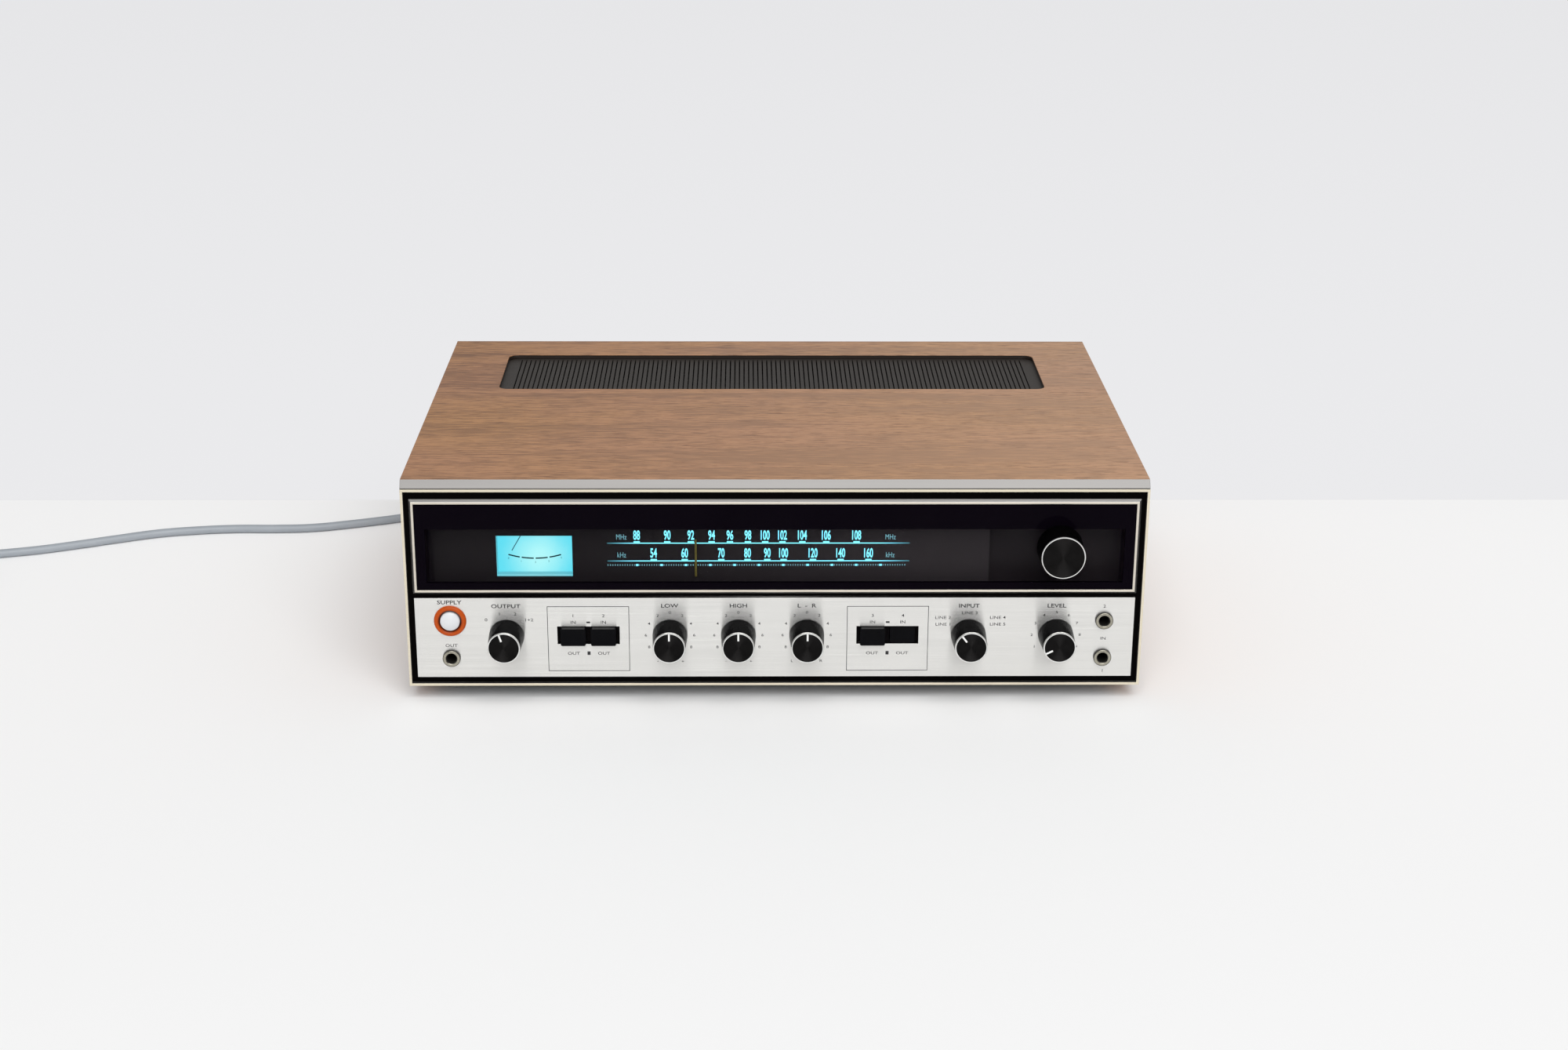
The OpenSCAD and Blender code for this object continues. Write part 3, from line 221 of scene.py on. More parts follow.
def mottled(name, dark, light, scale, roughness, bump=0.1, **constants):
    """Moulded, painted or plated finish: two close sRGB tones, faintly uneven."""
    material, shader, place = finish(name, **constants)
    cloud = place.noise((scale, scale, scale), 4.0)
    cloud.mix(srgb(*dark), srgb(*light)).to(shader, "Base Color")
    (roughness - 0.06 + 0.12 * cloud).to(shader, "Roughness")
    grit = place.noise((scale * 12, scale * 12, scale * 12), 1.0)
    grit.bump(shader, bump, 0.0002)
    return material


def paint(material, *names):
    for name in names:
        nodes[name].data.materials.clear()
        nodes[name].data.materials.append(material)


cord_grey = mottled("cord_pvc", (144, 151, 158), (164, 170, 176), 60, 0.42)
cord_line.materials.append(cord_grey)
paint(mottled("relief_rubber", (70, 72, 75), (84, 86, 89), 90, 0.6), "strain_relief")
paint(mottled("plug_pvc", (146, 152, 158), (164, 170, 175), 70, 0.45), "mains_plug")
paint(mottled("tie_strap", (18, 18, 19), (32, 32, 33), 200, 0.7, 0.3), "cord_tie")
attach(lead, "set")
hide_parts("power_cord", "cord_coil")


# Chassis and the works on it
# A zinc-plated steel pan carries the boards, the transformer and the dial drive. Its front wall is
# painted dark where it faces the dial; the rest shows only through the slots of the vent.
zinc_dark = (150, 152, 150)
zinc_light = (186, 188, 184)
zinc = mottled("zinc_plate", zinc_dark, zinc_light, 45, 0.38, Metallic=1.0)
pan, pan_shader, pan_place = finish("chassis_steel", Roughness=0.42, Specular_IOR_Level=0.2)
dial_wall_y = -117.6 * mm
painted = pan_place.axis("Y") < dial_wall_y
plating = pan_place.noise((45, 45, 45), 4.0).mix(srgb(*zinc_dark), srgb(*zinc_light))
painted.mix(plating, srgb(56, 51, 53)).to(pan_shader, "Base Color")
(1 - painted).to(pan_shader, "Metallic")
paint(pan, "chassis")
paint(zinc, "panel_screws", "tuning_shaft")
paint(mottled("drive_cord", (196, 176, 132), (222, 204, 164), 500, 0.8, 0.4), "dial_cord")
works = (
    ("transformer_paint", (34, 33, 33), (52, 50, 49), 80, 0.55, 0, ["power_transformer"]),
    ("can_sleeve", (44, 62, 92), (58, 78, 112), 30, 0.35, 0, ["filter_capacitors"]),
    ("black_anodised", (16, 17, 18), (30, 31, 32), 60, 0.5, 0.6, ["heat_sink"]),
    ("nickel_case", (166, 162, 152), (196, 192, 184), 60, 0.3, 1, ["output_transistors"]),
    ("phenolic_board", (112, 76, 40), (140, 98, 54), 50, 0.5, 0, ["amplifier_board", "rotary_switches"]),
    ("glass_board", (66, 92, 52), (88, 116, 66), 50, 0.45, 0, ["tuner_board"]),
    ("nylon_wheel", (214, 208, 190), (232, 228, 214), 70, 0.5, 0,
     ["pulley_left", "pulley_right", "tuning_drum"]),
    ("vane_aluminium", (178, 180, 182), (208, 210, 212), 60, 0.35, 1,
     ["capacitor_frame", "capacitor_rotor"]),
    ("control_case", (150, 148, 142), (184, 182, 176), 70, 0.4, 0.9, ["potentiometers"]),
    ("switch_nylon", (206, 204, 196), (226, 224, 218), 70, 0.55, 0, ["push_switches"]),
    ("switch_black", (22, 22, 23), (36, 36, 37), 80, 0.5, 0, ["power_switch"]),
)
for name, dark, light, scale, roughness, metallic, pieces in works:
    paint(mottled(name, dark, light, scale, roughness, Metallic=metallic), *pieces)


# Rear panel, sockets and terminals
# Steel panel with a satin grey paint, screwed to the chassis. Phono sockets with white insulators,
# two black barrier strips with plated screws, and a ferrite bar that swings out on a pin.
paint(mottled("rear_paint", (122, 122, 118), (138, 138, 134), 120, 0.5, 0.25), "rear_panel")
socket_nickel = mottled("socket_nickel", (178, 174, 164), (208, 204, 196), 90, 0.25, Metallic=1.0)
paint(socket_nickel, "phono_sockets")
strip_black = mottled("strip_black", (20, 19, 18), (34, 32, 31), 90, 0.42)
paint(strip_black, "speaker_terminals", "antenna_terminals", "antenna_bar")


def lathe(profile, x, z, steps=96):
    """Spins a closed outline of (radius, y) in millimetres about the line along Y through x and z."""
    turned = bmesh.new()
    outline = [turned.verts.new((x * mm + r * mm, y * mm, z * mm)) for r, y in profile]
    edges = [turned.edges.new((a, b)) for a, b in zip(outline, outline[1:] + outline[:1])]
    bmesh.ops.spin(
        turned, geom=outline + edges, cent=(x * mm, 0, z * mm), axis=(0, 1, 0),
        angle=math.tau, steps=steps, use_merge=True,
    )
    bmesh.ops.remove_doubles(turned, verts=turned.verts, dist=1e-6)
    bmesh.ops.recalc_face_normals(turned, faces=turned.faces)
    offsets = turned.loops.layers.uv.new("from_axis")
    for face in turned.faces:
        for corner in face.loops:
            corner[offsets].uv = (corner.vert.co.x - x * mm, corner.vert.co.z - z * mm)
    return turned


def block(x0, y0, z0, x1, y1, z1):
    """Box between two corners in millimetres."""
    box = bmesh.new()
    size = Matrix.Diagonal(((x1 - x0) * mm, (y1 - y0) * mm, (z1 - z0) * mm, 1))
    middle = Matrix.Translation(((x0 + x1) / 2 * mm, (y0 + y1) / 2 * mm, (z0 + z1) / 2 * mm))
    bmesh.ops.create_cube(box, size=1, matrix=middle @ size)
    return box


def dress(name, body, parts, replaced=()):
    """Joins parts, each a bmesh and its material, into one piece that rides on a body."""
    crease = math.radians(30)
    whole = bmesh.new()
    whole.loops.layers.uv.new("from_axis")
    finished = bpy.data.meshes.new(name)
    for part, material in parts:
        if material.name not in finished.materials:
            finished.materials.append(material)
        index = finished.materials.find(material.name)
        for face in part.faces:
            face.material_index = index
            face.smooth = True
        for edge in part.edges:
            edge.smooth = edge.calc_face_angle(0) < crease
        carrier = bpy.data.meshes.new("carrier")
        part.to_mesh(carrier)
        part.free()
        whole.from_mesh(carrier)
        bpy.data.meshes.remove(carrier)
    whole.to_mesh(finished)
    whole.free()
    piece = bpy.data.objects.new(name, finished)
    scene.collection.objects.link(piece)
    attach(piece, body)
    if replaced:
        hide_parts(*replaced)


insulator = mottled("socket_insulator", (214, 212, 206), (230, 228, 222), 120, 0.4)
socket_end = 150.2
insulator_bore = 1.7
insulator_r = 3.3
insulator_inner = socket_end - 1
insulator_outer = socket_end + 0.15
insulator_profile = [
    (insulator_bore, insulator_inner), (insulator_r, insulator_inner),
    (insulator_r, insulator_outer), (insulator_bore, insulator_outer),
]
socket_columns = [-110 + 20 * i for i in range(5)]
socket_rows = [36.2 + 22 * i for i in range(2)]
dress("socket_insulators", "set", [
    (lathe(insulator_profile, x, z, 32), insulator) for x in socket_columns for z in socket_rows
])

terminal_y = 147.2
terminal_pitch = 11
speaker_row = [(71.5 + terminal_pitch * i, 47.2) for i in range(8)]
antenna_row = [(-76.5 + terminal_pitch * i, 101.5) for i in range(4)]


def terminal_screw(x, z, y):
    """Round head with a slot across it."""
    head = lathe([(0, y - 1), (2.9, y - 1), (2.9, y + 0.5), (2.4, y + 0.9), (0, y + 1)], x, z, 24)
    slot = block(x - 2.2, y + 0.6, z - 0.3, x + 2.2, y + 1.05, z + 0.3)
    return [(head, socket_nickel), (slot, strip_black)]


dress("terminal_screws", "set", [
    part for x, z in speaker_row + antenna_row for part in terminal_screw(x, z, terminal_y)
])


# Cabinet
# Boards of veneered chipboard, mitred at the top corners. Walnut veneer under a satin lacquer, its
# grain running across the top and down the sides, with fine dark pores. Inside and in the vent the
# boards are stained dark.
inner_half_width = 200.2 * mm
inner_top = 134.0 * mm
inner_back = 154.5 * mm


def walnut(name, turn):
    """Veneer whose grain is turned about Y, made paler to the right and at the front by painted light."""
    material, shader, place = finish(name, Coat_Weight=0.12, Coat_Roughness=0.3)
    board = place.add("Mapping", {"Vector": place, "Rotation": (0, turn, 0)})
    figure = board.noise((2.4, 34, 34), 4.0, 1.2)
    blotch = board.noise((5, 9, 9), 4.0)
    # Painted light: the veneer is made paler to the right and toward the front.
    right = place.axis("X").ease(-0.26, 0.3)
    front = 1 - place.axis("Y").ease(-0.13, 0.17)
    fibre = 0.6 * board.noise((52, 520, 520), 4.0, 0.3) + 0.4 * board.noise((70, 1300, 1300), 3.0)
    pore = board.noise((110, 2100, 2100), 1.0)
    pale = blotch.ease(0.3, 0.7).mix(srgb(166, 117, 84), srgb(172, 123, 76))
    deep = blotch.ease(0.3, 0.7).mix(srgb(112, 73, 49), srgb(120, 80, 46))
    grain = (0.35 * figure + 0.65 * fibre).ease(0.41, 0.57)
    painted_light_veneer = (0.36 * right).mix(grain.mix(deep, pale), srgb(226, 188, 158))
    veneer = (0.17 * front).mix(painted_light_veneer, srgb(214, 160, 108))
    pores = pore.ease(0.58, 0.64) * figure.ease(0.25, 0.5)
    wood = (0.5 * pores).mix(veneer, srgb(82, 50, 34))
    inside = (abs(place.axis("X")) < inner_half_width) * (place.axis("Z") < inner_top)
    stained = inside * (place.axis("Y") < inner_back)
    stained.mix(wood, srgb(32, 21, 14)).to(shader, "Base Color")
    (0.4 + 0.14 * fibre + 0.1 * pores).to(shader, "Roughness")
    (fibre - 0.8 * pores).bump(shader, 0.12, 0.0003)
    return material


def ease_edges(width, *names):
    """Welds a node's triangles, joins the flat ones and rounds the edges that are left."""
    for name in names:
        weld = nodes[name].modifiers.new("weld", "WELD")
        weld.merge_threshold = 1e-6
        join = nodes[name].modifiers.new("join", "DECIMATE")
        join.decimate_type = "DISSOLVE"
        join.angle_limit = math.radians(2)
        edge = nodes[name].modifiers.new("edge", "BEVEL")
        edge.width = width * mm
        edge.segments = 2
        edge.limit_method = "ANGLE"
        edge.angle_limit = math.radians(35)


paint(walnut("walnut_top", 0), "cabinet_top")
side_boards = ("cabinet_side_left", "cabinet_side_right")
paint(walnut("walnut_sides", math.pi / 2), *side_boards)
ease_edges(0.3, "cabinet_top", *side_boards)


# Vent grille
# Stamped steel sheet with front-to-back slots, in a brown-black crackle paint, held under the vent.
paint(mottled("grille_paint", (38, 33, 29), (47, 42, 38), 300, 0.55, 0.3), "vent_grille")


# Feet
# Turned black rubber feet, each held by a screw in its countersunk hole.
paint(mottled("foot_rubber", (22, 21, 20), (34, 33, 31), 150, 0.7, 0.3), "feet")


# Front bezel
# Extruded aluminium frame, clear anodised. The strip above slopes back to the wood; the narrow lip
# round the front has a lacquer that has yellowed a little.
bezel_metal, bezel_shader, bezel_place = finish("bezel_aluminium", Metallic=1.0)
lengthwise = bezel_place.noise((9, 1200, 1200), 2.0)
lip_y = -134.7 * mm
lip = bezel_place.axis("Y") < lip_y
tone = lengthwise.mix(srgb(132, 130, 128), srgb(150, 148, 146))
aged = lengthwise.mix(srgb(226, 217, 196), srgb(242, 234, 214))
lip.mix(tone, aged).to(bezel_shader, "Base Color")
(0.46 + 0.14 * lengthwise).to(bezel_shader, "Roughness")
lengthwise.bump(bezel_shader, 0.05, 0.0001)
paint(bezel_metal, "front_bezel")
ease_edges(0.15, "front_bezel")


# Front plate
# Pressed steel in matt black. It shows as the surround of the dial and the panel.
surround = mottled("surround_black", (4, 3, 3), (8, 6, 6), 150, 0.6, 0.2, Specular_IOR_Level=0.02)
paint(surround, "front_plate")


# Control panel
# Aluminium sheet, brushed from side to side, so reflections smear up and down. The markings are
# screen printed in black ink.
panel_metal, panel_shader, panel_place = finish(
    "brushed_panel", Metallic=1.0, Anisotropic=1.0, Anisotropic_Rotation=0.25
)
brush = panel_place.noise((14, 1, 1900), 3.0)
stroke = panel_place.noise((5, 1, 420), 2.0)
streak = 0.75 * brush + 0.25 * stroke
streak.ease(0.25, 0.75).mix(srgb(216, 215, 212), srgb(228, 227, 224)).to(panel_shader, "Base Color")
(0.22 + 0.08 * streak).to(panel_shader, "Roughness")
brush.bump(panel_shader, 0.06, 0.0001)
paint(panel_metal, "control_panel")
ease_edges(0.2, "control_panel")

panel_face = -135.5
ink_black = mottled("panel_ink", (26, 26, 28), (40, 40, 42), 400, 0.6)


def lettering(wording, x, z, height, face, stretch=1.0, weight=0.0):
    """Words as thin raised ink, centred on x and z and facing the front; weight thickens the strokes."""
    text = bpy.data.curves.new("words", "FONT")
    text.body = wording
    text.resolution_u = 3
    text.extrude = 0.5
    text.offset = weight
    carrier = bpy.data.objects.new("words", text)
    scene.collection.objects.link(carrier)
    evaluated = carrier.evaluated_get(bpy.context.evaluated_depsgraph_get())
    shape = bpy.data.meshes.new_from_object(evaluated)
    letters = bmesh.new()
    letters.from_mesh(shape)
    bpy.data.objects.remove(carrier)
    bpy.data.curves.remove(text)
    bpy.data.meshes.remove(shape)
    xs = [v.co.x for v in letters.verts]
    ys = [v.co.y for v in letters.verts]
    middle = Vector(((min(xs) + max(xs)) / 2, (min(ys) + max(ys)) / 2, 0))
    cap = 0.7
    film = 0.06 * mm
    size = Matrix.Diagonal((stretch * height * mm / cap, height * mm / cap, film, 1))
    upright = Matrix.Rotation(math.pi / 2, 4, "X")
    spot = Matrix.Translation((x * mm, face * mm, z * mm))
    bmesh.ops.transform(
        letters, verts=letters.verts, matrix=spot @ upright @ size @ Matrix.Translation(-middle)
    )
    bmesh.ops.remove_doubles(letters, verts=letters.verts, dist=1e-7)
    return letters


def mark(x0, z0, x1, z1, face):
    """Printed bar."""
    return block(x0, face - 0.03, z0, x1, face + 0.03, z1)


def outline(x0, z0, x1, z1, line, face):
    """Printed rectangle."""
    return [
        mark(x0, z0, x1, z0 + line, face), mark(x0, z1 - line, x1, z1, face),
        mark(x0, z0, x0 + line, z1, face), mark(x1 - line, z0, x1, z1, face),
    ]


knob_row = 40.9
speakers_x, bass_x, treble_x, balance_x, selector_x, volume_x = -154.6, -60.7, -21.3, 18.1, 111.5, 162.0
title = 2.3
label = 1.8
digit = 1.6
title_weight = 0.014
label_weight = 0.004
panel_stretch = 1.3
words = [
    ("SUPPLY", -186.8, 61.4, title), ("OUT", -186.6, 34.6, label),
    ("OUTPUT", speakers_x, 59, title), ("0", -166.2, 50.6, label), ("1", -158.4, 54.2, label),
    ("2", -149.4, 54.2, label), ("1+2", -141.4, 50.5, label),
    ("LOW", bass_x, 59.2, title), ("HIGH", treble_x, 59.2, title), ("L  -  R", balance_x, 59.2, title),
    ("INPUT", selector_x, 59, title), ("LINE 1", 96.6, 47.5, label), ("LINE 2", 96.6, 51.7, label),
    ("LINE 3", 111.9, 54.6, label), ("LINE 4", 128.2, 51.7, label), ("LINE 5", 128.2, 47.5, label),
    ("LEVEL", volume_x, 59, title), ("2", 189.5, 58.6, label), ("IN", 189.6, 38.6, label),
    ("1", 190.2, 18.3, label),
]
dial_places = [
    (-12.1, -7.4), (-13.9, 0), (-12, 7.2), (-7.1, 12.2), (0, 14.1),
    (7.1, 12.2), (12, 7.2), (13.9, 0), (12.1, -7.4),
]
for x in (bass_x, treble_x, balance_x):
    for number, (dx, dz) in zip("864202468", dial_places):
        words.append((number, x + dx, knob_row + dz, digit))
for number, (dx, dz) in zip("123456789", dial_places):
    words.append((number, volume_x + dx, knob_row + dz, digit))
for x in (bass_x, treble_x):
    words += [("-", x - 7.2, knob_row - 16.4, digit), ("+", x + 7.2, knob_row - 16.4, digit)]
words += [("L", balance_x - 8.4, knob_row - 16.2, digit), ("R", balance_x + 8.4, knob_row - 16.2, digit)]
box_half = 23.55
box_low = 18.5
box_high = 58.85
box_line = 0.35
button_step = 8.7
number_row = 53
in_row = 49
out_row = 29.6
ink = []
for middle, number in ((-107.6, 1), (64.7, 3)):
    ink += outline(middle - box_half, box_low, middle + box_half, box_high, box_line, panel_face)
    ink.append(mark(middle - 1.1, 48.4, middle + 1.1, 49.4, panel_face))
    ink.append(mark(middle - 0.9, 28.6, middle + 0.9, 30.8, panel_face))
    for x, name in ((middle - button_step, str(number)), (middle + button_step, str(number + 1))):
        words += [(name, x, number_row, label), ("IN", x, in_row, label), ("OUT", x, out_row, label)]
for wording, x, z, height in words:
    weight = title_weight if height == title else label_weight
    ink.append(lettering(wording, x, z, height, panel_face, panel_stretch, weight))
dress("panel_print", "set", [(part, ink_black) for part in ink])


# Power button and its ring
# A bulging ring of amber plastic, lit from behind by a small lamp, round a turned white button with
# a shallow dome.
def axis_distance(material):
    """Distance of a turned surface from its own axis."""
    return Socket(material.node_tree).add("UVMap", {}, uv_map="from_axis").length()


amber, amber_shader, amber_place = finish(
    "amber_plastic", Roughness=0.3, Emission_Strength=0.06, Specular_IOR_Level=0.2
)
amber_cloud = amber_place.noise((300, 300, 300), 2.0)
# Painted glow of the ring's lamp, and painted shade darkening the ring toward its inner edge and in the
# gap.
lit_rim_shaded_gap = axis_distance(amber).ease(0.0060, 0.0075) * (0.8 + 0.2 * amber_cloud)
lit_rim_shaded_gap.mix(srgb(84, 25, 6), srgb(180, 73, 12)).to(amber_shader, "Base Color")
lit_rim_shaded_gap.mix(srgb(40, 8, 0), srgb(226, 96, 14)).to(amber_shader, "Emission Color")
button_white, white_shader = finish("button_white", Roughness=0.3, Coat_Weight=0.3)[:2]
turned_rings = (axis_distance(button_white) * 14000).sine()
(turned_rings * 0.5 + 0.5).mix(srgb(206, 208, 211), srgb(226, 228, 231)).to(white_shader, "Base Color")
turned_rings.bump(white_shader, 0.08, 0.0001)

power_x = -186.8
power_z = 50.0
ring_back = -131.4
ring_middle_r = 7.8
ring_middle_y = -135.8
ring_half = 1.5
ring_bulge = 1.4
bulge_angles = [math.radians(a) for a in range(20, 161, 10)]
ring_profile = [(6.3, ring_back), (6.3, -135.6)]
ring_profile += [
    (ring_middle_r - ring_half * math.cos(a), ring_middle_y - ring_bulge * math.sin(a))
    for a in bulge_angles
]
ring_profile += [(9.35, -135.4), (8.0, -135.4), (8.0, ring_back)]
gap_profile = [(5.75, -132), (6.35, -132), (6.35, -135.9), (6.25, -135.9), (5.75, -134.2)]
dress("power_ring_lens", "set", [
    (lathe(ring_profile, power_x, power_z), amber),
    (lathe(gap_profile, power_x, power_z), amber),
], ["power_ring"])
dome_r = 11.4
dome_middle_y = -127.1
dome_angles = [math.radians(a) for a in (8, 16, 23, 28)]
dome_profile = [(0, dome_middle_y - dome_r)]
dome_profile += [(dome_r * math.sin(a), dome_middle_y - dome_r * math.cos(a)) for a in dome_angles]
dome_profile += [(5.6, -136.8), (5.7, -136.5), (5.7, -132.6), (2.5, -132.6), (2.5, -115.3), (0, -115.3)]
dress("power_button_cap", "power_button", [
    (lathe(dome_profile, power_x, power_z), button_white),
], ["power_button"])


# Jacks
# Nickel-plated bushes in black moulded bodies. A round nut with a chamfered edge shows on the panel.
jack_black = mottled("jack_body", (24, 22, 20), (38, 35, 32), 120, 0.55)
paint(jack_black, "headphone_jack", "microphone_jacks")
nut_metal = mottled("nut_nickel", (150, 146, 132), (186, 182, 168), 200, 0.28, Metallic=1.0)
# The bore is lined with a dark sleeve: painted shade inside the hole.
bore_shade = mottled("nut_shadow", (26, 25, 23), (40, 38, 35), 200, 0.5)
nut_profile = [
    (3.3, -136.9), (3.3, -137.2), (3.5, -137.4), (4.4, -137.4), (4.8, -137.2), (4.8, -136.9)
]
bore_profile = [(3.0, -136.6), (3.3, -136.6), (3.3, -112), (3.0, -112)]
jack_places = ((-186.8, 27), (189.6, 27), (189.6, 50))
dress("jack_nuts", "set", [
    part for x, z in jack_places for part in (
        (lathe(nut_profile, x, z, 64), nut_metal),
        (lathe(bore_profile, x, z, 32), bore_shade),
    )
])


# Knobs
# Turned aluminium in black anodising, finely ribbed round the side. A bright ring is cut at the front
# edge, the face behind it is spun, and a white line marks the pointer.
knob_black, knob_shader, knob_place = finish(
    "knob_black", Metallic=0.94, Specular_Tint=(0.3, 0.3, 0.3, 1)
)
knob_cloud = knob_place.noise((220, 220, 220), 3.0)
knob_cloud.mix(srgb(40, 40, 42), srgb(54, 54, 56)).to(knob_shader, "Base Color")
(0.16 + 0.1 * knob_cloud).to(knob_shader, "Roughness")
ring_bright = mottled("ring_bright", (226, 226, 224), (246, 246, 244), 150, 0.22, Metallic=1.0)
line_white = mottled("line_white", (226, 226, 224), (240, 240, 238), 200, 0.4)
face_black, face_shader, face_place = finish("knob_face", Metallic=1.0)
spun = (axis_distance(face_black) * 21000).sine()
face_cloud = face_place.noise((260, 260, 260), 2.0)
face_cloud.mix(srgb(23, 22, 22), srgb(31, 30, 30)).to(face_shader, "Base Color")
(0.3 + 0.1 * face_cloud).to(face_shader, "Roughness")
spun.bump(face_shader, 0.7, 0.00006)
rib_depth = 0.07 * mm
rib_steps = 144
steps_per_rib = 3


def knob(name, node, body, x, z, front, back, face_r, skirt_r, shaft_end, angle=None):
    """One knob with its shaft, and a pointer line at an angle from straight up."""
    side = lathe([
        (2.9, front + 5), (face_r - 0.2, front + 0.9), (face_r, front + 1.2),
        (skirt_r - 0.1, back - 0.5), (skirt_r - 0.3, back), (2.9, back)
    ], x, z, rib_steps)
    axis = Vector((x * mm, 0, z * mm))
    for vert in side.verts:
        out = vert.co - axis
        out.y = 0
        step = round(math.atan2(out.z, out.x) / math.tau * rib_steps)
        if out.length > (face_r - 0.1) * mm and step % steps_per_rib == 0:
            vert.co -= out.normalized() * rib_depth
    ring = lathe([
        (face_r - 0.8, front + 0.5), (face_r - 0.7, front), (face_r - 0.3, front - 0.02),
        (face_r - 0.05, front + 0.3), (face_r - 0.02, front + 1.25), (face_r - 0.8, front + 1.25)
    ], x, z)
    face = lathe([
        (0, front + 0.35), (face_r - 0.75, front + 0.3), (face_r - 0.75, front + 1.2), (0, front + 1.2)
    ], x, z)
    shaft = lathe([(0, front + 5), (3, front + 5), (3, shaft_end), (0, shaft_end)], x, z, 32)
    parts = [(side, knob_black), (ring, ring_bright), (face, face_black), (shaft, zinc)]
    if angle is not None:
        line = block(x - 0.5, front + 0.12, z + face_r - 5.0, x + 0.5, front + 0.6, z + face_r - 0.72)
        turn = Matrix.Rotation(math.radians(angle), 3, "Y")
        bmesh.ops.rotate(line, verts=line.verts, cent=axis, matrix=turn)
        parts.append((line, line_white))
    dress(name, body, parts, [node])


control_knobs = (
    ("speakers", speakers_x, -18), ("bass", bass_x, 0), ("treble", treble_x, 0),
    ("balance", balance_x, 0), ("selector", selector_x, -37), ("volume", volume_x, -117),
)
for name, x, angle in control_knobs:
    knob(
        name + "_knob_cap", name + "_knob", name + "_knob", x, knob_row,
        front=-155, back=-136, face_r=9.3, skirt_r=10.2, shaft_end=-109.3, angle=angle,
    )
tuning_z = 94.85
knob(
    "tuning_knob_cap", "tuning_knob", "tuning", volume_x, tuning_z,
    front=-153, back=-135.5, face_r=12.6, skirt_r=13.5, shaft_end=-136,
)


# Push buttons
# Four black moulded caps with a hollow face, in two slots of the panel. The last one is pushed in.
cap_black = mottled("cap_black", (6, 6, 8), (10, 10, 13), 140, 0.3, Specular_IOR_Level=0.05)
push_buttons = [f"push_button_{i}" for i in range(1, 5)]
paint(cap_black, *push_buttons)
ease_edges(0.35, *push_buttons)


# Dial frame
# Thin aluminium moulding round the dial window, pressed over the edge of the glass. It is satin grey
# on its slope, with a warm clear lacquer on the flat land.
frame_metal, frame_shader, frame_place = finish("frame_aluminium", Metallic=1.0)
frame_streak = frame_place.noise((12, 900, 900), 2.0)
land_half_width = 206.2 * mm
land_low = 67.5 * mm
land_high = 122.2 * mm
frame_z = frame_place.axis("Z")
land = (abs(frame_place.axis("X")) < land_half_width) * (frame_z > land_low) * (frame_z < land_high)
satin = frame_streak.mix(srgb(138, 137, 135), srgb(160, 158, 156))
lacquered = frame_streak.mix(srgb(214, 206, 192), srgb(232, 225, 212))
land.mix(satin, lacquered).to(frame_shader, "Base Color")
(0.3 + 0.14 * frame_streak).to(frame_shader, "Roughness")
paint(frame_metal, "dial_frame")
ease_edges(0.2, "dial_frame")


# Dial scale
# Black plate behind the window, a shade paler toward the right. The two wavebands and a log scale
# are cut out of the print, so the lamps behind them show as blue-white figures.
plate, plate_shader, plate_place = finish("scale_black", Roughness=0.75)
plate_cloud = plate_place.noise((90, 90, 90), 3.0)
# The plate is a shade paler toward the right.
paler_to_right = plate_place.axis("X").ease(-0.12, 0.12) * (0.85 + 0.3 * plate_cloud)
paler_to_right.mix(srgb(36, 31, 33), srgb(70, 64, 67)).to(plate_shader, "Base Color")
paint(plate, "dial_scale")
paint(mottled("lamp_glass", (226, 214, 170), (240, 232, 196), 100, 0.2), "dial_lamps")


def backlit(name, strength, roughness):
    """Black print or paper that shows only by the light that comes through it."""
    return finish(name, Base_Color=(0, 0, 0, 1), Roughness=roughness, Emission_Strength=strength)


lamps_middle = -9.7 * mm
# Painted lamp light: the figures glow, the lit ones brightest in front of the lamps' middle.
lit, lit_shader, lit_place = backlit("lit_print", 2.6, 0.7)
fade = 1 - abs(lit_place.axis("X") - lamps_middle).ease(0.066, 0.09)
fade.mix(srgb(50, 94, 106), srgb(124, 230, 255)).to(lit_shader, "Emission Color")
dim, dim_shader, dim_place = backlit("dim_print", 2.2, 0.7)
dim_fade = dim_place.noise((120, 120, 120), 1.0)
dim_fade.mix(srgb(96, 150, 164), srgb(120, 176, 188)).to(dim_shader, "Emission Color")
fm_marks = (
    (88, -79.5), (90, -62.0), (92, -48.5), (94, -36.6), (96, -26.1), (98, -15.8),
    (100, -5.9), (102, 4.0), (104, 15.4), (106, 29.1), (108, 46.5),
)
am_marks = (
    (54, -69.9), (60, -52.1), (70, -31.1), (80, -16.0), (90, -4.7),
    (100, 4.7), (120, 21.6), (140, 37.5), (160, 53.5),
)
scale_face = -125.0
line_left = -96.4
line_right = 77
figure_height = 5.5
figure_up = 4.9
bright = []
for marks, line_z in ((fm_marks, 93.6), (am_marks, 82.7)):
    bright.append(mark(line_left, line_z - 0.3, line_right, line_z + 0.3, scale_face))
    for number, x in marks:
        bright.append(lettering(str(number), x, line_z + figure_up, figure_height, scale_face, 0.5, 0.025))
        bright.append(mark(x - 1.8, line_z, x + 1.8, line_z + 1.2, scale_face))
unit_height = 3.2
faint = [
    lettering(unit, x, z, unit_height, scale_face, 0.7)
    for unit, z in (("MHz", 97.4), ("kHz", 86.4)) for x in (-88.2, 66)
]
log_z = 80.2
log_zero = -79.4
log_step = 1.399
for i in range(-12, 111):
    x = log_zero + log_step * i
    faint.append(mark(x - 0.24, log_z - 0.45, x + 0.24, log_z + 0.45, scale_face))
    if i % 10 == 0 and 0 <= i <= 100:
        bright.append(mark(x - 0.75, log_z - 0.6, x + 0.75, log_z + 0.6, scale_face - 0.03))
dress("dial_print", "set", [(part, lit) for part in bright] + [(part, dim) for part in faint])
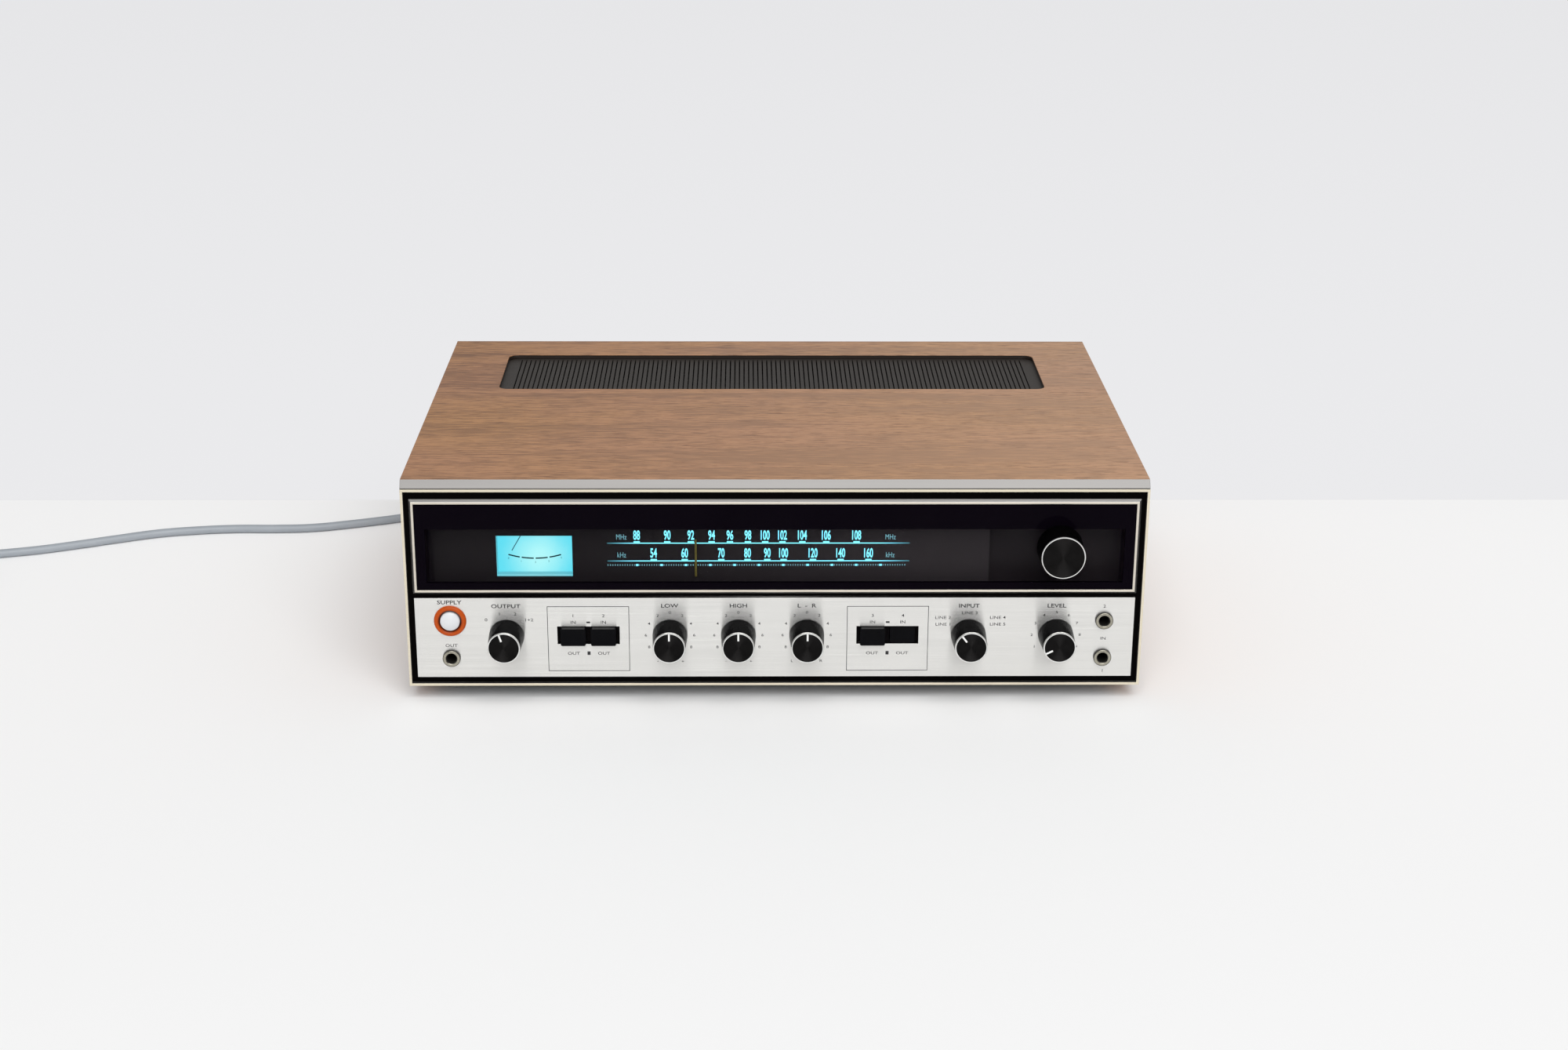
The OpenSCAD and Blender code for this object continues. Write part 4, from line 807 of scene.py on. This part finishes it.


# Pointer
# Thin steel blade that slides on its rail. It is enamelled olive where it passes over the scale;
# above that it is painted black as shade.
enamel, enamel_shader, enamel_place = finish("pointer_enamel", Roughness=0.45)
olive = enamel_place.noise((200, 200, 200), 2.0).mix(srgb(128, 118, 50), srgb(150, 139, 62))
pointer_shade_z = 96.5 * mm
# Painted shade: black above this height.
(enamel_place.axis("Z") > pointer_shade_z).mix(olive, srgb(12, 10, 11)).to(enamel_shader, "Base Color")
paint(enamel, "dial_pointer")


# Tuning meter
# White moulded case, open to the front and lit from above through a blue filter, so its ledge, the
# paper face and the hair-thin needle all glow; the glow is painted light, brightest in the middle of
# the paper. Shade is painted under the hood and on the back of the ledge. The arc is printed in dark
# green-blue.
case, case_shader, case_place = finish("meter_moulding", Roughness=0.6, Emission_Strength=0.55)
case_cloud = case_place.noise((120, 120, 120), 3.0).mix(srgb(196, 214, 216), srgb(216, 230, 232))
hood_z = 100 * mm
paper_back = -115.5 * mm
ledge_shade_y = -120.7 * mm
# Painted shade: the moulding is black and unlit under the hood and behind the paper.
hood_shade = (case_place.axis("Z") > hood_z) + (case_place.axis("Y") > paper_back)
# Painted shade: the back part of the ledge, next to the paper, is darker.
moulding = (case_place.axis("Y") > ledge_shade_y).mix(case_cloud, srgb(168, 184, 188))
hood_shade.mix(moulding, srgb(12, 12, 13)).to(case_shader, "Base Color")
hood_shade.mix(srgb(77, 224, 244), (0, 0, 0, 1)).to(case_shader, "Emission Color")
paint(case, "meter_case")
# The needle's glow is painted light.
needle_enamel = mottled(
    "needle_enamel", (16, 30, 34), (26, 44, 48), 200, 0.5,
    Emission_Color=srgb(60, 130, 145), Emission_Strength=1.0,
)
paint(needle_enamel, "meter_needle")
paper, paper_shader, paper_place = backlit("meter_paper", 1.75, 0.8)
paper_middle = Vector((-136.5, -116.5, 83)) * mm
from_middle = paper_place.add("Mapping", {"Vector": paper_place, "Location": -paper_middle})
# Painted light: the glow is brightest in the middle of the paper.
spread = from_middle.length() + 0.006 * paper_place.noise((90, 90, 90), 2.0)
wash = spread.ease(0.004, 0.027).mix(srgb(178, 250, 252), srgb(98, 224, 244))
# Painted shade: no glow on the paper under the hood.
hood_shadow_z = 99.5 * mm
hood_shadow_on_paper = paper_place.axis("Z") > hood_shadow_z
hood_shadow_on_paper.mix(wash, (0, 0, 0, 1)).to(paper_shader, "Emission Color")
paint(paper, "meter_face")
arc_ink = mottled("arc_ink", (14, 70, 80), (22, 84, 94), 200, 0.7)
meter_face = -116.5
arc_x = -138.65
arc_z = 132.5
arc_r = 51.3
arc_half_line = 0.4
arc_half_film = 0.05
arc_axis = (arc_x * mm, 0, arc_z * mm)
arc_parts = []
for start, end in ((-17.4, -9.9), (-8.7, -0.9), (0.3, 8.1), (9.3, 17.0)):
    dash = bmesh.new()
    corners = [
        dash.verts.new((arc_x * mm, (meter_face + y) * mm, (arc_z - arc_r + z) * mm))
        for y, z in (
            (-arc_half_film, -arc_half_line), (arc_half_film, -arc_half_line),
            (arc_half_film, arc_half_line), (-arc_half_film, arc_half_line),
        )
    ]
    cut = dash.faces.new(corners)
    turn = Matrix.Rotation(math.radians(-start), 3, "Y")
    bmesh.ops.rotate(dash, verts=dash.verts, cent=arc_axis, matrix=turn)
    bmesh.ops.spin(
        dash, geom=[cut], cent=arc_axis, axis=(0, 1, 0), angle=math.radians(start - end),
        steps=10, use_merge=False,
    )
    bmesh.ops.recalc_face_normals(dash, faces=dash.faces)
    arc_parts.append(dash)
arc_numbers = (
    (0, -154.0, 81.3), (1, -146.7, 79.4), (2, -138.5, 78.8), (3, -130.8, 79.4), (4, -123.6, 81.6)
)
for number, x, z in arc_numbers:
    arc_parts.append(lettering(str(number), x, z, 1.1, meter_face))
dress("meter_print", "set", [(part, arc_ink) for part in arc_parts])


# Dial window
# Smoked acrylic sheet in the frame. A black border is printed on it, wide along the top; the clear
# part is dark in daylight and lets the lit figures through.
smoke, smoke_shader, smoke_place = finish("smoked_acrylic", Specular_IOR_Level=0.02)
window_half_width = 199.2 * mm
window_z = 89.3 * mm
window_half_height = 16.3 * mm
border_alpha = 0.985
clear_alpha = 0.25
between_ends = abs(smoke_place.axis("X")) < window_half_width
window = between_ends * (abs(smoke_place.axis("Z") - window_z) < window_half_height)
(border_alpha - (border_alpha - clear_alpha) * window).to(smoke_shader, "Alpha")
haze = smoke_place.noise((40, 40, 40), 2.0)
haze.mix(srgb(6, 3, 9), srgb(10, 6, 13)).to(smoke_shader, "Base Color")
(0.03 + 0.04 * haze).to(smoke_shader, "Roughness")
paint(smoke, "dial_glass")


# Studio
# White tabletop under a soft white sky, with one large lamp above in front. The tabletop is a little
# whiter toward the back, and past a straight edge it has the tone of a pale wall.
floor_radius = 9
floor_z = -0.0001
wall_edge = (0.2115, 0.2135)
floor_mesh = bmesh.new()
bmesh.ops.create_circle(floor_mesh, cap_ends=True, radius=floor_radius, segments=96)
bmesh.ops.translate(floor_mesh, verts=floor_mesh.verts, vec=(0, 0, floor_z))
floor_data = bpy.data.meshes.new("floor")
floor_mesh.to_mesh(floor_data)
floor_mesh.free()
floor = bpy.data.objects.new("floor", floor_data)
scene.collection.objects.link(floor)
white, floor_shader, floor_place = finish("white_table", Roughness=0.55, Specular_IOR_Level=0.1)
far = floor_place.axis("Y").ease(*wall_edge)
whiter = floor_place.axis("Y").ease(-0.5, 0.2)
tabletop = whiter.mix((0.92, 0.92, 0.92, 1), (0.98, 0.98, 0.98, 1))
far.mix(tabletop, (0.80, 0.80, 0.815, 1)).to(floor_shader, "Base Color")
table = Socket(white.node_tree)
under = table.add("NewGeometry", {}, output="Backfacing")
seen = table.add("LightPath", {}, output="Is Camera Ray")
mirrored = table.add("LightPath", {}, output="Is Glossy Ray")
through = table.add("LightPath", {}, output="Is Transmission Ray")
wall = table.add("Emission", {"Color": srgb(238, 238, 240), "Strength": 1.0})
clear = table.add("BsdfTransparent", {})
opaque = Socket(white.node_tree, floor_shader.outputs[0])
paper_wall = table.add("MixShader", {0: 0.8 * far * (seen + mirrored + through), 1: opaque, 2: wall})
one_sided = table.add("MixShader", {0: under, 1: paper_wall, 2: clear})
white.node_tree.links.new(one_sided.link, white.node_tree.nodes["Material Output"].inputs["Surface"])
floor_data.materials.append(white)

sky = bpy.data.worlds.new("sky")
sky.use_nodes = True
background = sky.node_tree.nodes["Background"]
background.inputs["Color"].default_value = (1, 1, 1, 1)
background.inputs["Strength"].default_value = 0.46
scene.world = sky
lamp = bpy.data.lights.new("softbox", "AREA")
lamp.shape = "SQUARE"
lamp.size = 6.0
lamp.energy = 385
softbox = bpy.data.objects.new("softbox", lamp)
softbox.location = (0.8, -4.6, 4.8)
lamp_target = Vector((0, 0, 0.05))
softbox.rotation_euler = (lamp_target - softbox.location).to_track_quat("-Z", "Y").to_euler()
scene.collection.objects.link(softbox)
